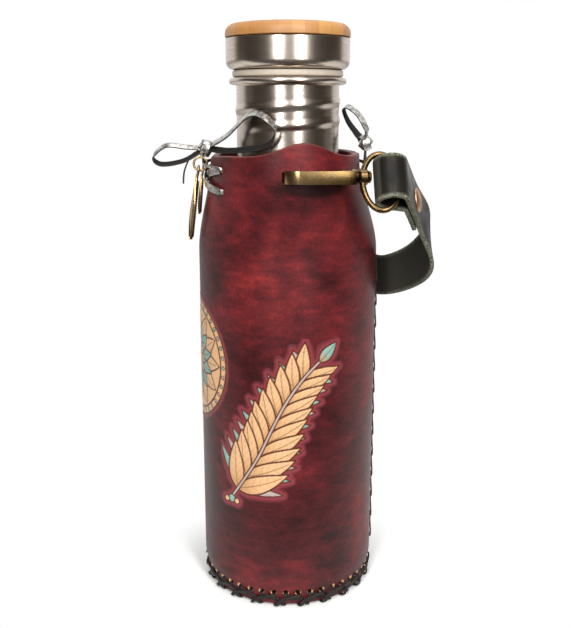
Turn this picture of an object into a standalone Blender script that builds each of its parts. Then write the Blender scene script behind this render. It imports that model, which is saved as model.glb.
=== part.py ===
"""A laced leather case for a water bottle, with the steel bottle, its screw lid and a clip-on handle.

Metres, +Z up. The origin is the centre of the flat base. The laced slit faces -Y, the back seam +Y.
Angles round the case run from the front (-Y) towards +X.
"""
import math

import bmesh
import bpy
from mathutils import Matrix, Vector

# Shared clearances and limits
GAP = 0.0003
OVERRUN = 0.002
MITRE_LIMIT_SHARE = 0.6

# The bottle that the case is cut for
BOTTLE_RADIUS = 0.0365
BOTTLE_WALL = 0.0008
BOTTLE_CORNER = 0.0120

# Leather wrap
LEATHER = 0.003
SLEEVE_FIT = 0.0005
CASE_RADIUS = BOTTLE_RADIUS + SLEEVE_FIT + LEATHER
CASE_COLUMNS = 40
RIM_HEIGHT = 0.2013
EAR_RISE = 0.0058
EAR_ANGLE = math.radians(96.0)
EAR_SPREAD = math.radians(19.0)
FRONT_DIP = 0.0020
FRONT_DIP_SPREAD = math.radians(25.0)
MOUTH_DROP = 0.0433
MOUTH_FULL_DROP = 0.0013
SIDE_FLARE = 0.0037
FRONT_DRAW = 0.0060
BACK_DRAW = 0.0090
FOOT_DRAW = 0.0018
FOOT_DRAW_RISE = 0.0092
EAR_FRONT_ANGLE = math.radians(52.5)
EAR_BACK_ANGLE = math.radians(120.0)
FLAP_DROP = 0.0413
SEAM_GAP = 0.0010
MOUTH_START = RIM_HEIGHT - MOUTH_DROP
MOUTH_FULL = RIM_HEIGHT - MOUTH_FULL_DROP
FLAP_FOOT = RIM_HEIGHT - FLAP_DROP

# Slits that the lacing draws together
FRONT_SLIT_DEPTH = 0.0378
BACK_SLIT_DEPTH = 0.0313
SLIT_FOOT_WIDTH = 0.0026
SLIT_TOP_WIDTH = 0.0100
FRONT_SLIT_FOOT = RIM_HEIGHT - FRONT_SLIT_DEPTH
BACK_SLIT_FOOT = RIM_HEIGHT - BACK_SLIT_DEPTH

# Base disc
DISC_THICKNESS = 0.0030
DISC_INSET = 0.0020
REBATE_WIDTH = 0.0070
DISC_HOLE_INSET = 0.0045
DISC_RADIUS = CASE_RADIUS - DISC_INSET
REBATE_RADIUS = DISC_RADIUS - REBATE_WIDTH
DISC_HOLE_RADIUS = DISC_RADIUS - DISC_HOLE_INSET

# Flat lace and its holes
LACE_WIDTH = 0.0034
LACE_THICKNESS = 0.0007
LACE_NECK = 0.0014
LACE_LIFT = 0.0003
LEAD_LIFT = 0.0027
LACE_STEPS = 10
HOLE_RADIUS = 0.0014
HOLE_SIDES = 6
BASE_HOLES = 44
BASE_HOLE_RISE = 0.0040
STRAND_DROPS = (0.0, 0.5, 1.0)
STRAND_TURN_SHARES = (0.0, 0.36, 0.70)
EDGE_TURN_SHARE = 0.92
STRAND_WIDTH = 0.0026
EDGE_WIDTH = 0.0020
SEAM_PITCH = 0.0105
SEAM_FOOT = 0.0180
SEAM_HALF_WIDTH = 0.0055
SEAM_SKIVE = 0.0014
SEAM_SKIVE_WIDTH = 0.0090
FRONT_HOLE_ANGLE = math.radians(43.0)
BACK_HOLE_ANGLE = math.radians(150.0)
LOW_HOLE_DROP = 0.0148
HIGH_HOLE_DROP = 0.0058
LEAD_DROP = 0.0047
MOUTH_HOLE_HEIGHTS = (RIM_HEIGHT - LOW_HOLE_DROP, RIM_HEIGHT - HIGH_HOLE_DROP)
LEAD_HEIGHT = RIM_HEIGHT - LEAD_DROP

# Bottle neck
SHOULDER_DROP = 0.0433
SHOULDER_TOP_DROP = 0.0003
RIM_FOOT_RISE = 0.0287
RIM_BEAD = 0.0030
NECK_RADIUS = 0.0224
RIM_PROUD = 0.0031
SHOULDER_FOOT = RIM_HEIGHT - SHOULDER_DROP
SHOULDER_TOP = RIM_HEIGHT - SHOULDER_TOP_DROP
RIM_FOOT = RIM_HEIGHT + RIM_FOOT_RISE
RIM_TOP = RIM_FOOT + RIM_BEAD
RIM_RADIUS = NECK_RADIUS + RIM_PROUD
THREAD_PITCH = 0.0080
THREAD_WIDTH = 0.0034
THREAD_PROUD = 0.0009
THREAD_RISE = 0.0107
THREAD_FOOT = RIM_HEIGHT + THREAD_RISE
THREAD_TURNS = 1.5
TURNED_SIDES = 32
BEAD_FADE_STEPS = 4.0
SHOULDER_STEPS = 7

# Lid
SEAL_THICKNESS = 0.0027
SEAL_PROUD = 0.0016
LID_PROUD = 0.0044
SEAL_RADIUS = NECK_RADIUS + SEAL_PROUD
LID_RADIUS = NECK_RADIUS + LID_PROUD
LID_HEIGHT = 0.0130
LID_CORNER = 0.0035
LID_WALL = 0.0010
PLUG_FIT = 0.0010
PLUG_RADIUS = NECK_RADIUS - BOTTLE_WALL - PLUG_FIT
PLUG_WALL = 0.0022
PLUG_DEPTH = 0.0240
PLUG_RIDGE = 0.0007
BAMBOO_PROUD = 0.0002
BAMBOO_RADIUS = LID_RADIUS + BAMBOO_PROUD
BAMBOO_THICKNESS = 0.0055
BAMBOO_CORNER = 0.0040

# Swivel snap hooks: x outwards, y towards the swivel, z across
HOOK_DROP = 0.0076
HOOK_THICKNESS = 0.0053
HOOK_BAR = 0.0029
HOOK_STANDOFF = 0.0039
HOOK_ARC_RADIUS = 0.0085
HOOK_ARC_Y = 0.0033
HOOK_NOSE_INSET = 0.0031
HOOK_NOSE_THICKNESS = 0.0017
HOOK_NOSE_TIP = 0.0072
HOOK_NOSE_CORNER = 0.0014
HOOK_BLOCK_INSET = 0.0028
HOOK_BLOCK_START = 0.0182
HOOK_BLOCK_END = 0.0244
FORK_START = 0.0172
FORK_END = 0.0220
FORK_REACH = 0.0053
FORK_HALF = 0.00185
HOOK_HEIGHT = RIM_HEIGHT - HOOK_DROP
HOOK_SPINE = CASE_RADIUS + HOOK_STANDOFF
HOOK_OUTSIDE = HOOK_SPINE + HOOK_BAR
HOOK_ARC_X = HOOK_OUTSIDE - HOOK_ARC_RADIUS
HOOK_NOSE_INSIDE = CASE_RADIUS - HOOK_NOSE_INSET
HOOK_NOSE_OUTSIDE = HOOK_NOSE_INSIDE + HOOK_NOSE_THICKNESS
HOOK_BLOCK_INSIDE = CASE_RADIUS - HOOK_BLOCK_INSET
FORK_OUTSIDE = HOOK_BLOCK_INSIDE + FORK_REACH
HOOK_PIVOT_Y = -0.0037
FAR_HOOK_TILT = math.radians(-45.0)
GATE_TIP_GAP = 0.0003
GATE_TIP = HOOK_NOSE_TIP + GATE_TIP_GAP
GATE_KNUCKLE_START = 0.0180
GATE_KNUCKLE_END = 0.0212
GATE_KNUCKLE_THICKNESS = 0.0033
GATE_KNUCKLE_OUTSIDE = HOOK_NOSE_INSIDE + GATE_KNUCKLE_THICKNESS
GATE_HALF = 0.0015
GATE_PIN_DEPTH = 0.0017
GATE_PIN_X = HOOK_NOSE_INSIDE + GATE_PIN_DEPTH
GATE_PIN_Y = 0.0196
GATE_PIN_RADIUS = 0.0006
PIN_SIDES = 8
SWIVEL_INSET = 0.0043
SWIVEL_X = HOOK_OUTSIDE - SWIVEL_INSET
COLLAR_RADIUS = 0.0031
COLLAR_LENGTH = 0.0017
STEM_RADIUS = 0.0014
BOSS_RADIUS = 0.0032
BOSS_LENGTH = 0.0034
RUNNING_GAP = 0.00035
STEM_HEAD_RADIUS = 0.0024
STEM_HEAD_LENGTH = 0.0010
SWIVEL_SIDES = 14
RING_WIRE = 0.0012
RING_CENTRE_Y = 0.0350
RING_HALF_HEIGHT = 0.0124
RING_HALF_LENGTH = 0.0074
RING_DROP = 0.0022
RING_SIDES = 8
RING_STEPS = 24
RING_TILT = math.radians(-32.0)

# Slots in the ears for the hooks
SLOT_REACH = 0.0080
SLOT_INSIDE = CASE_RADIUS - SLOT_REACH
SLOT_OUTSIDE = CASE_RADIUS + SLOT_REACH
NOSE_SLOT_START = -0.0056
NOSE_SLOT_END = 0.0030
NOSE_SLOT_HALF = 0.0030
GATE_SLOT_START = 0.0071
GATE_SLOT_END = 0.0186
GATE_SLOT_HALF = 0.0020
FAR_SLOT_END = 0.0250
FAR_SLOT_HALF = 0.0030

# Leather handle strap
STRAP_WIDTH = 0.0190
STRAP_THICKNESS = 0.0020
ROLL_RADIUS = 0.0060
ROLL_CENTRE_Y = 0.0391
FAR_ROLL_OUT = 0.0012
ROLL_STEPS = 12
ROLL_START = 165.0
NEAR_ROLL_END = 430.0
FAR_ROLL_END = 400.0
LAP_START = 0.0090
LAP_LENGTHS = {"near": 0.0300, "far": 0.0245}
LAP_SHARES = (0.5, 1.0)
RUN_POINTS = 40
RIVET_PLACES = {"near": 0.0205, "far": 0.0170}
RIVET_HEAD_RADIUS = 0.0052
RIVET_HEAD_THICKNESS = 0.0010
RIVET_SEAT = 0.0007
RIVET_SHANK_RADIUS = 0.0018
RIVET_SIDES = 16
STRAP_X_SHARES = (0.471, 0.294, 0.094, -0.188, -0.471, -0.706)
STRAP_OUT = (0.0175, 0.0220, 0.0220, 0.0160, 0.0065, 0.0010)
STRAP_DROP = (0.0268, 0.0358, 0.0468, 0.0548, 0.0603, 0.0598)
STRAP_ACROSS_SHARES = ((-0.48, 0.08, 0.87), (-0.36, 0.00, 0.93), (-0.20, -0.15, 0.97), (-0.05, -0.10, 0.99),
                       (0.05, 0.10, 0.99), (0.25, 0.35, 0.90))

# Bows of flat lace
BOW_WIDTH = 0.0034
KNOT_HALF = (0.0040, 0.0028, 0.0028)
KNOT_LEAD_SPACING = 0.0015
FRONT_KNOT_INSET = 0.0038
FRONT_KNOT_RISE = 0.0017
BACK_KNOT_INSET = 0.0056
BACK_KNOT_RISE = 0.0039
FRONT_KNOT = Vector((0.0, FRONT_KNOT_INSET - CASE_RADIUS, RIM_HEIGHT + FRONT_KNOT_RISE))
BACK_KNOT = Vector((0.0, CASE_RADIUS - BACK_KNOT_INSET, RIM_HEIGHT + BACK_KNOT_RISE))
NEAR_LOOP_ROUTE = ((0.0110, 0.0097, 0.0077), (0.0192, 0.0182, 0.0158), (0.0242, 0.0232, 0.0166),
                   (0.0292, 0.0282, 0.0127), (0.0302, 0.0294, 0.0087), (0.0272, 0.0262, 0.0042),
                   (0.0192, 0.0180, 0.0022), (0.0110, 0.0097, 0.0012))
FAR_LOOP_ROUTE = ((-0.0010, -0.0088, 0.0022), (-0.0005, -0.0173, 0.0029), (0.0, -0.0228, -0.0017),
                  (0.0012, -0.0196, -0.0050), (0.0026, -0.0100, -0.0036))
FRONT_TAIL_ROUTE = ((-0.0068, -0.0064, -0.0014), (-0.0064, -0.0098, -0.0080), (-0.0050, -0.0105, -0.0140))
BACK_LOOP_ROUTE = ((0.0020, 0.0001, 0.0098), (-0.0050, -0.0024, 0.0158), (-0.0130, -0.0064, 0.0194),
                   (-0.0200, -0.0074, 0.0178), (-0.0190, -0.0054, 0.0128), (-0.0120, -0.0024, 0.0078))
LOOP_POINTS = 17
TAIL_POINTS = 6

# Brass charms
JUMP_RADIUS = 0.0029
JUMP_WIRE = 0.00045
JUMP_ASIDE = 0.0050
JUMP_LEAD = 0.0010
JUMP_Y = FRONT_DRAW - CASE_RADIUS - LEAD_LIFT - LACE_THICKNESS - JUMP_LEAD
JUMP_CENTRE = Vector((JUMP_ASIDE, JUMP_Y, LEAD_HEIGHT))
JUMP_STEPS = 18
JUMP_SIDES = 6
CHARM_SPREAD = 0.0010
CHARM_EYE_RADIUS = 0.0023
CHARM_EYE_HOLE = 0.0014
PENDANT_LENGTH = 0.0305
PENDANT_WIDTH = 0.0085
PENDANT_THICKNESS = 0.0011
PENDANT_LEAN = math.radians(7.0)
SMALL_LENGTH = 0.0190
SMALL_WIDTH = 0.0042
SMALL_THICKNESS = 0.0008
SMALL_LEAN = math.radians(5.0)

LEATHER_RED = (0.21, 0.035, 0.040, 1.0)
LEATHER_BLACK = (0.025, 0.024, 0.022, 1.0)
LACE_BLACK = (0.018, 0.018, 0.017, 1.0)
STEEL = (0.62, 0.60, 0.57, 1.0)
BRASS = (0.60, 0.42, 0.16, 1.0)
COPPER = (0.55, 0.33, 0.20, 1.0)
BAMBOO = (0.76, 0.42, 0.16, 1.0)
SILICONE = (0.72, 0.68, 0.60, 1.0)
PLASTIC = (0.10, 0.10, 0.10, 1.0)

CASE_FOOT = DISC_THICKNESS + GAP
REBATE = LACE_THICKNESS + 2.0 * GAP
FOOT_DRAW_HEIGHT = CASE_FOOT + FOOT_DRAW_RISE
BASE_HOLE_HEIGHT = CASE_FOOT + BASE_HOLE_RISE


def clear_scene():
    for old in list(bpy.data.objects):
        bpy.data.objects.remove(old, do_unlink=True)


def material(name, colour, roughness, metallic=0.0):
    """A plain Principled material."""
    made = bpy.data.materials.get(name)
    if made is None:
        made = bpy.data.materials.new(name)
        made.use_nodes = True
        shader = made.node_tree.nodes["Principled BSDF"]
        shader.inputs["Base Color"].default_value = colour
        shader.inputs["Roughness"].default_value = roughness
        shader.inputs["Metallic"].default_value = metallic
    return made


def red_leather():
    return material("red_leather", LEATHER_RED, 0.5)


def black_leather():
    return material("black_leather", LEATHER_BLACK, 0.55)


def lace_leather():
    return material("lace_leather", LACE_BLACK, 0.35)


def steel():
    return material("steel", STEEL, 0.3, 1.0)


def brass():
    return material("brass", BRASS, 0.35, 1.0)


def finish(bm, name, surface, origin=Vector(), smooth=True):
    """Turn a bmesh in world metres into an object whose origin is at a point."""
    bmesh.ops.recalc_face_normals(bm, faces=bm.faces)
    bmesh.ops.translate(bm, verts=bm.verts, vec=-origin)
    mesh = bpy.data.meshes.new(name)
    bm.to_mesh(mesh)
    bm.free()
    if smooth:
        mesh.shade_smooth()
        mesh.set_sharp_from_angle(angle=math.radians(35.0))
    made = bpy.data.objects.new(name, mesh)
    made.location = origin
    bpy.context.scene.collection.objects.link(made)
    mesh.materials.append(surface)
    return made


def join_cutters(bm, name):
    """A hidden wire object made of separate cutting shapes."""
    cutter = finish(bm, name, red_leather(), smooth=False)
    cutter.hide_render = True
    cutter.display_type = 'WIRE'
    return cutter


def apply_boolean(target, tool, operation):
    """Cut or join one object with another, then drop the tool."""
    change = target.modifiers.new(operation.lower(), 'BOOLEAN')
    change.operation = operation
    change.solver = 'EXACT'
    change.object = tool
    depsgraph = bpy.context.evaluated_depsgraph_get()
    shape = bpy.data.meshes.new_from_object(target.evaluated_get(depsgraph))
    target.modifiers.remove(change)
    target.data = shape
    bpy.data.objects.remove(tool, do_unlink=True)
    return target


def smoothstep(value):
    value = min(max(value, 0.0), 1.0)
    return value * value * (3.0 - 2.0 * value)


def curve_point(points, share):
    """A point on the smooth curve through the given points."""
    count = len(points) - 1
    place = min(max(share, 0.0), 1.0) * count
    index = min(int(place), count - 1)
    t = place - index
    before = points[max(index - 1, 0)]
    start = points[index]
    end = points[index + 1]
    after = points[min(index + 2, count)]
    return 0.5 * (2.0 * start + (end - before) * t + (2.0 * before - 5.0 * start + 4.0 * end - after) * t * t
                  + (3.0 * start - before - 3.0 * end + after) * t * t * t)


def even_points(points, count):
    """Points at even distances along the smooth curve through the given points."""
    fine = [curve_point(points, step / 400.0) for step in range(401)]
    lengths = [0.0]
    for first, second in zip(fine, fine[1:]):
        lengths.append(lengths[-1] + (second - first).length)
    placed = []
    index = 0
    for step in range(count):
        wanted = lengths[-1] * step / (count - 1)
        while index < len(fine) - 2 and lengths[index + 1] < wanted:
            index += 1
        span = lengths[index + 1] - lengths[index]
        part = 0.0 if span == 0.0 else (wanted - lengths[index]) / span
        placed.append(fine[index].lerp(fine[index + 1], part))
    return placed


def add_ribbon(bm, centres, across, widths, thickness, closed=False):
    """A flat strip: a centre line, the direction of its width at each point, and its widths."""
    rings = []
    last = len(centres) - 1
    for index, centre in enumerate(centres):
        after = centres[(index + 1) % len(centres)] if closed else centres[min(index + 1, last)]
        before = centres[index - 1] if closed else centres[max(index - 1, 0)]
        leaving = (after - centre).normalized() if after is not centre else (centre - before).normalized()
        arriving = (centre - before).normalized() if before is not centre else leaving
        along = (leaving + arriving).normalized()
        side = (across[index] - along * across[index].dot(along)).normalized()
        face = along.cross(side)
        half = side * widths[index] / 2.0
        mitre = max(abs(along.dot(leaving)), MITRE_LIMIT_SHARE)
        rise = face * thickness / 2.0 / mitre
        corners = (centre - half - rise, centre + half - rise, centre + half + rise, centre - half + rise)
        rings.append([bm.verts.new(corner) for corner in corners])
    pairs = list(zip(rings, rings[1:]))
    if closed:
        pairs.append((rings[-1], rings[0]))
    for first, second in pairs:
        for corner in range(4):
            after = (corner + 1) % 4
            bm.faces.new((first[corner], first[after], second[after], second[corner]))
    if not closed:
        bm.faces.new(rings[0][::-1])
        bm.faces.new(rings[-1])


def add_tube(bm, centres, radius, sides, closed=False, up=Vector((0.0, 0.0, 1.0))):
    """A round tube along points, with flat ends or closed on itself."""
    rings = []
    count = len(centres)
    for index, centre in enumerate(centres):
        after = centres[(index + 1) % count] if closed else centres[min(index + 1, count - 1)]
        before = centres[index - 1] if closed else centres[max(index - 1, 0)]
        along = (after - before).normalized()
        side = up.cross(along).normalized()
        rise = along.cross(side)
        ring = []
        for step in range(sides):
            turn = 2.0 * math.pi * step / sides
            ring.append(bm.verts.new(centre + (side * math.cos(turn) + rise * math.sin(turn)) * radius))
        rings.append(ring)
    pairs = list(zip(rings, rings[1:]))
    if closed:
        pairs.append((rings[-1], rings[0]))
    for first, second in pairs:
        for step in range(sides):
            after = (step + 1) % sides
            bm.faces.new((first[step], first[after], second[after], second[step]))
    if not closed:
        bm.faces.new(rings[0][::-1])
        bm.faces.new(rings[-1])


def add_turned(bm, profile, sides, frame=None):
    """A turned solid from a profile of (radius, height) points, closed on itself or at the axis."""
    placed = frame if frame is not None else Matrix.Identity(4)
    rings = []
    for radius, height in profile:
        if radius == 0.0:
            rings.append([bm.verts.new(placed @ Vector((0.0, 0.0, height)))] * sides)
            continue
        ring = []
        for step in range(sides):
            turn = 2.0 * math.pi * step / sides
            point = Vector((radius * math.cos(turn), radius * math.sin(turn), height))
            ring.append(bm.verts.new(placed @ point))
        rings.append(ring)
    pairs = list(zip(rings, rings[1:]))
    if profile[0][0] > 0.0:
        pairs.append((rings[-1], rings[0]))
    for first, second in pairs:
        for step in range(sides):
            after = (step + 1) % sides
            corners = []
            for corner in (first[step], first[after], second[after], second[step]):
                if corner not in corners:
                    corners.append(corner)
            if len(corners) > 2:
                bm.faces.new(corners)


def add_prism(bm, outline, low, high, frame=None):
    """An outline of (x, y) points carried from one height to another."""
    placed = frame if frame is not None else Matrix.Identity(4)
    bottom = [bm.verts.new(placed @ Vector((x, y, low))) for x, y in outline]
    top = [bm.verts.new(placed @ Vector((x, y, high))) for x, y in outline]
    bm.faces.new(bottom[::-1])
    bm.faces.new(top)
    count = len(outline)
    for index in range(count):
        after = (index + 1) % count
        bm.faces.new((bottom[index], bottom[after], top[after], top[index]))


def arc(centre_x, centre_y, radius, start, end, steps):
    """Points (x, y) on a circle between two angles in degrees, ends included."""
    points = []
    for step in range(steps + 1):
        turn = math.radians(start + (end - start) * step / steps)
        points.append((centre_x + radius * math.cos(turn), centre_y + radius * math.sin(turn)))
    return points


def axis_frame(origin, axis):
    """A frame whose Z runs along an axis."""
    return Matrix.Translation(origin) @ Vector((0.0, 0.0, 1.0)).rotation_difference(axis).to_matrix().to_4x4()


# The leather wrap

def mouth_lean(angle):
    """How far the rim stands out (or in) from the straight wall at an angle."""
    mean = -(FRONT_DRAW + BACK_DRAW) / 2.0
    front_back = (BACK_DRAW - FRONT_DRAW) / 2.0
    base = (mean + SIDE_FLARE) / 2.0
    swing = (mean - SIDE_FLARE) / 2.0
    return base + swing * math.cos(2.0 * angle) + front_back * math.cos(angle)


def wall_radius(angle, height):
    """Outer radius of the leather wall."""
    mouth = smoothstep((height - MOUTH_START) / (MOUTH_FULL - MOUTH_START))
    foot = 1.0 - min(max((height - CASE_FOOT) / (FOOT_DRAW_HEIGHT - CASE_FOOT), 0.0), 1.0)
    return CASE_RADIUS + mouth * mouth_lean(angle) - foot * FOOT_DRAW


def wall_inside(angle, height):
    """Inner radius of the wall: the leather is pared thin along the back seam."""
    beside = abs(abs((angle % (2.0 * math.pi)) - math.pi) * CASE_RADIUS) - SEAM_SKIVE_WIDTH
    pared = SEAM_SKIVE if beside < 0.0 and height < FLAP_FOOT + GAP / 2.0 else 0.0
    return wall_radius(angle, height) - LEATHER + pared


def rim_height(angle):
    """Height of the wavy top edge: an ear on each side, a dip at the laced front."""
    turned = abs((angle + math.pi) % (2.0 * math.pi) - math.pi)
    ear = math.exp(-((turned - EAR_ANGLE) / EAR_SPREAD) ** 2)
    dip = math.exp(-(turned / FRONT_DIP_SPREAD) ** 2)
    return RIM_HEIGHT + EAR_RISE * ear - FRONT_DIP * dip


def polar(angle, radius, height):
    return Vector((radius * math.sin(angle), -radius * math.cos(angle), height))


def wall_point(angle, height, outward=0.0):
    """A point on the outside of the wall, or off it by a distance."""
    return polar(angle, wall_radius(angle, height) + outward, height)


def add_wall(bm, angle_of, height_of, columns, rows, present, closed):
    """A leather shell on a grid of columns and rows, with walls where a cell is left out."""
    outer = {}
    inner = {}
    for column in range(columns if closed else columns + 1):
        for row in range(rows + 1):
            height = height_of(column, row)
            angle = angle_of(column, height)
            radius = wall_radius(angle, height)
            outer[column, row] = bm.verts.new(polar(angle, radius, height))
            inner[column, row] = bm.verts.new(polar(angle, wall_inside(angle, height), height))

    def cell(column, row):
        if closed:
            column %= columns
        elif not 0 <= column < columns:
            return False
        return 0 <= row < rows and present(column, row)

    for column in range(columns):
        after = (column + 1) % columns if closed else column + 1
        for row in range(rows):
            if not cell(column, row):
                continue
            corners = ((column, row), (after, row), (after, row + 1), (column, row + 1))
            bm.faces.new([outer[corner] for corner in corners])
            bm.faces.new([inner[corner] for corner in corners[::-1]])
            edges = ((corners[0], corners[1], column, row - 1), (corners[1], corners[2], column + 1, row),
                     (corners[2], corners[3], column, row + 1), (corners[3], corners[0], column - 1, row))
            for start, end, beside, level in edges:
                if not cell(beside, level):
                    bm.faces.new((outer[start], inner[start], inner[end], outer[end]))
    loose = [vert for vert in bm.verts if not vert.link_faces]
    bmesh.ops.delete(bm, geom=loose, context='VERTS')


def hole_cutters(places):
    """Punches through the wall, each at an angle and a height."""
    bm = bmesh.new()
    for angle, height in places:
        outside = wall_point(angle, height, OVERRUN)
        inside = wall_point(angle, height, -LEATHER - OVERRUN)
        add_tube(bm, [outside, inside], HOLE_RADIUS, HOLE_SIDES)
    return join_cutters(bm, "punches")


def base_hole_angle(index):
    return 2.0 * math.pi * (index + 0.5) / BASE_HOLES


def seam_rows():
    return int((BACK_SLIT_FOOT - SEAM_FOOT) / SEAM_PITCH)


def seam_height(row):
    return SEAM_FOOT + SEAM_PITCH * row


def seam_angle(side):
    return math.pi + side * SEAM_HALF_WIDTH / CASE_RADIUS


def case_holes():
    """Places of the punched holes below the flaps: round the base and up the back seam."""
    places = [(base_hole_angle(index), BASE_HOLE_HEIGHT) for index in range(BASE_HOLES)]
    for row in range(seam_rows()):
        for side in (-1.0, 1.0):
            places.append((seam_angle(side), seam_height(row)))
    return [place for place in places if place[1] + HOLE_RADIUS + GAP < FLAP_FOOT]


def make_case_body():
    """The wrap below the flaps, with the two ears that carry the hooks."""
    plain = [2.0 * math.pi * step / CASE_COLUMNS for step in range(CASE_COLUMNS)]
    full = 2.0 * math.pi
    ear_edges = (EAR_FRONT_ANGLE, EAR_BACK_ANGLE, full - EAR_BACK_ANGLE, full - EAR_FRONT_ANGLE)
    half_seam = SEAM_GAP / 2.0 / CASE_RADIUS
    seam_edges = (math.pi - half_seam, math.pi + half_seam)
    pared = SEAM_SKIVE_WIDTH / CASE_RADIUS
    step = 2.0 * GAP / CASE_RADIUS
    pared_edges = (math.pi - pared - step, math.pi - pared + step,
                   math.pi + pared - step, math.pi + pared + step)
    kept = ear_edges + seam_edges + pared_edges
    clear = [angle for angle in plain if min(abs(angle - edge) for edge in kept) > 2.0 * step]
    angles = sorted(clear + list(kept))
    low_rows = [CASE_FOOT, (CASE_FOOT + FOOT_DRAW_HEIGHT) / 2.0, FOOT_DRAW_HEIGHT, MOUTH_START / 2.0,
                FLAP_FOOT]
    ear_shares = (0.25, 0.5, 0.75, 1.0)
    rows = len(low_rows) - 1 + len(ear_shares)

    def height_of(column, row):
        if row < len(low_rows):
            return low_rows[row]
        share = ear_shares[row - len(low_rows)]
        return FLAP_FOOT + (rim_height(angles[column]) - FLAP_FOOT) * share

    def present(column, row):
        middle = angles[column] + half_seam / 2.0
        if seam_edges[0] < middle < seam_edges[1]:
            return False
        if row < len(low_rows) - 1:
            return True
        return ear_edges[0] < middle < ear_edges[1] or ear_edges[2] < middle < ear_edges[3]

    bm = bmesh.new()
    add_wall(bm, lambda column, height: angles[column], height_of, len(angles), rows, present, True)
    body = finish(bm, "case_body", red_leather())
    apply_boolean(body, hole_cutters(case_holes()), 'DIFFERENCE')
    apply_boolean(body, slot_cutters(), 'DIFFERENCE')
    return body


def make_flaps(name, middle, reach, slit_foot, holes):
    """The drawn-in corners of the wrap beside a slit, joined below the slit."""
    low = FLAP_FOOT + GAP
    edge_steps = 5
    shares = (0.33, 0.67, 1.0)

    def half_slit(height):
        share = (height - slit_foot) / (RIM_HEIGHT - slit_foot)
        width = SLIT_FOOT_WIDTH + (SLIT_TOP_WIDTH - SLIT_FOOT_WIDTH) * max(share, 0.0)
        return width / 2.0 / CASE_RADIUS

    def offset(column, height):
        side = 1.0 if column > edge_steps else -1.0
        step = column - edge_steps - 1 if side > 0.0 else edge_steps - column
        start = half_slit(height)
        return side * (start + (reach - start) * step / edge_steps)

    def height_of(column, row):
        if row < 2:
            return (low, slit_foot)[row]
        rough = middle + offset(column, RIM_HEIGHT)
        return slit_foot + (rim_height(rough) - slit_foot) * shares[row - 2]

    def present(column, row):
        return row == 0 or column != edge_steps

    bm = bmesh.new()
    add_wall(bm, lambda column, height: middle + offset(column, height), height_of, 2 * edge_steps + 1,
             1 + len(shares), present, False)
    flaps = finish(bm, name, red_leather())
    apply_boolean(flaps, hole_cutters(holes), 'DIFFERENCE')
    return flaps


def front_hole_places():
    places = []
    for height in MOUTH_HOLE_HEIGHTS:
        places.extend(((FRONT_HOLE_ANGLE, height), (-FRONT_HOLE_ANGLE, height)))
    return places


def back_hole_places():
    places = []
    for height in MOUTH_HOLE_HEIGHTS:
        places.extend(((BACK_HOLE_ANGLE, height), (2.0 * math.pi - BACK_HOLE_ANGLE, height)))
    return places


def make_base_disc():
    """The base: a leather disc with a groove under its edge, so the lacing doesn't touch the ground."""
    bm = bmesh.new()
    profile = ((0.0, 0.0), (REBATE_RADIUS, 0.0), (REBATE_RADIUS + REBATE, REBATE), (DISC_RADIUS, REBATE),
               (DISC_RADIUS, DISC_THICKNESS), (0.0, DISC_THICKNESS))
    add_turned(bm, profile, CASE_COLUMNS)
    disc = finish(bm, "base_disc", red_leather())
    slits = bmesh.new()
    for index in range(BASE_HOLES):
        angle = base_hole_angle(index)
        turn = Matrix.Rotation(angle - math.pi / 2.0, 4, 'Z')
        length = HOLE_RADIUS
        width = LACE_THICKNESS / 2.0 + GAP
        outline = [(DISC_HOLE_RADIUS - width, -length), (DISC_HOLE_RADIUS + width, -length),
                   (DISC_HOLE_RADIUS + width, length), (DISC_HOLE_RADIUS - width, length)]
        add_prism(slits, outline, -OVERRUN, DISC_THICKNESS + OVERRUN, turn)
    apply_boolean(disc, join_cutters(slits, "slits"), 'DIFFERENCE')
    return disc


def tangent_at(point):
    """The level direction round the case at a point."""
    return Vector((point.y, -point.x, 0.0)).normalized()


def base_strand(start, end, layer):
    """One strand: out of a wall hole, slanting round the corner, up through a slit in the disc."""
    first = base_hole_angle(start)
    turn = base_hole_angle(end) - first
    last = first + turn
    lie = GAP + LACE_THICKNESS / 2.0
    off = lie + layer * (LACE_THICKNESS + GAP)
    under = REBATE - lie
    points = [wall_point(first, BASE_HOLE_HEIGHT, -LEATHER - lie)]
    for drop, share in zip(STRAND_DROPS, STRAND_TURN_SHARES):
        height = BASE_HOLE_HEIGHT + (CASE_FOOT - BASE_HOLE_HEIGHT) * drop
        points.append(wall_point(first + turn * share, height, off))
    points.append(polar(first + turn * EDGE_TURN_SHARE, DISC_RADIUS + off, under))
    points.append(polar(last, DISC_HOLE_RADIUS, under))
    points.append(polar(last, DISC_HOLE_RADIUS, DISC_THICKNESS + lie))
    return points


def make_base_lace(name, parity):
    """One of the two laces that bind the wall to the disc: a closed round of crossed strands."""
    centres = []
    widths = []
    strand_widths = [LACE_NECK, LACE_NECK, STRAND_WIDTH, STRAND_WIDTH, EDGE_WIDTH, LACE_NECK, LACE_NECK]
    for pair in range(parity, parity - BASE_HOLES // 2, -2):
        centres += base_strand(2 * pair, 2 * pair + 2, 0.0)[::-1]
        widths += strand_widths[::-1]
        centres += base_strand(2 * pair - 1, 2 * pair - 3, 1.0)
        widths += strand_widths
    bm = bmesh.new()
    add_ribbon(bm, centres, [tangent_at(point) for point in centres], widths, LACE_THICKNESS, closed=True)
    return finish(bm, name, lace_leather(), smooth=False)


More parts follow.
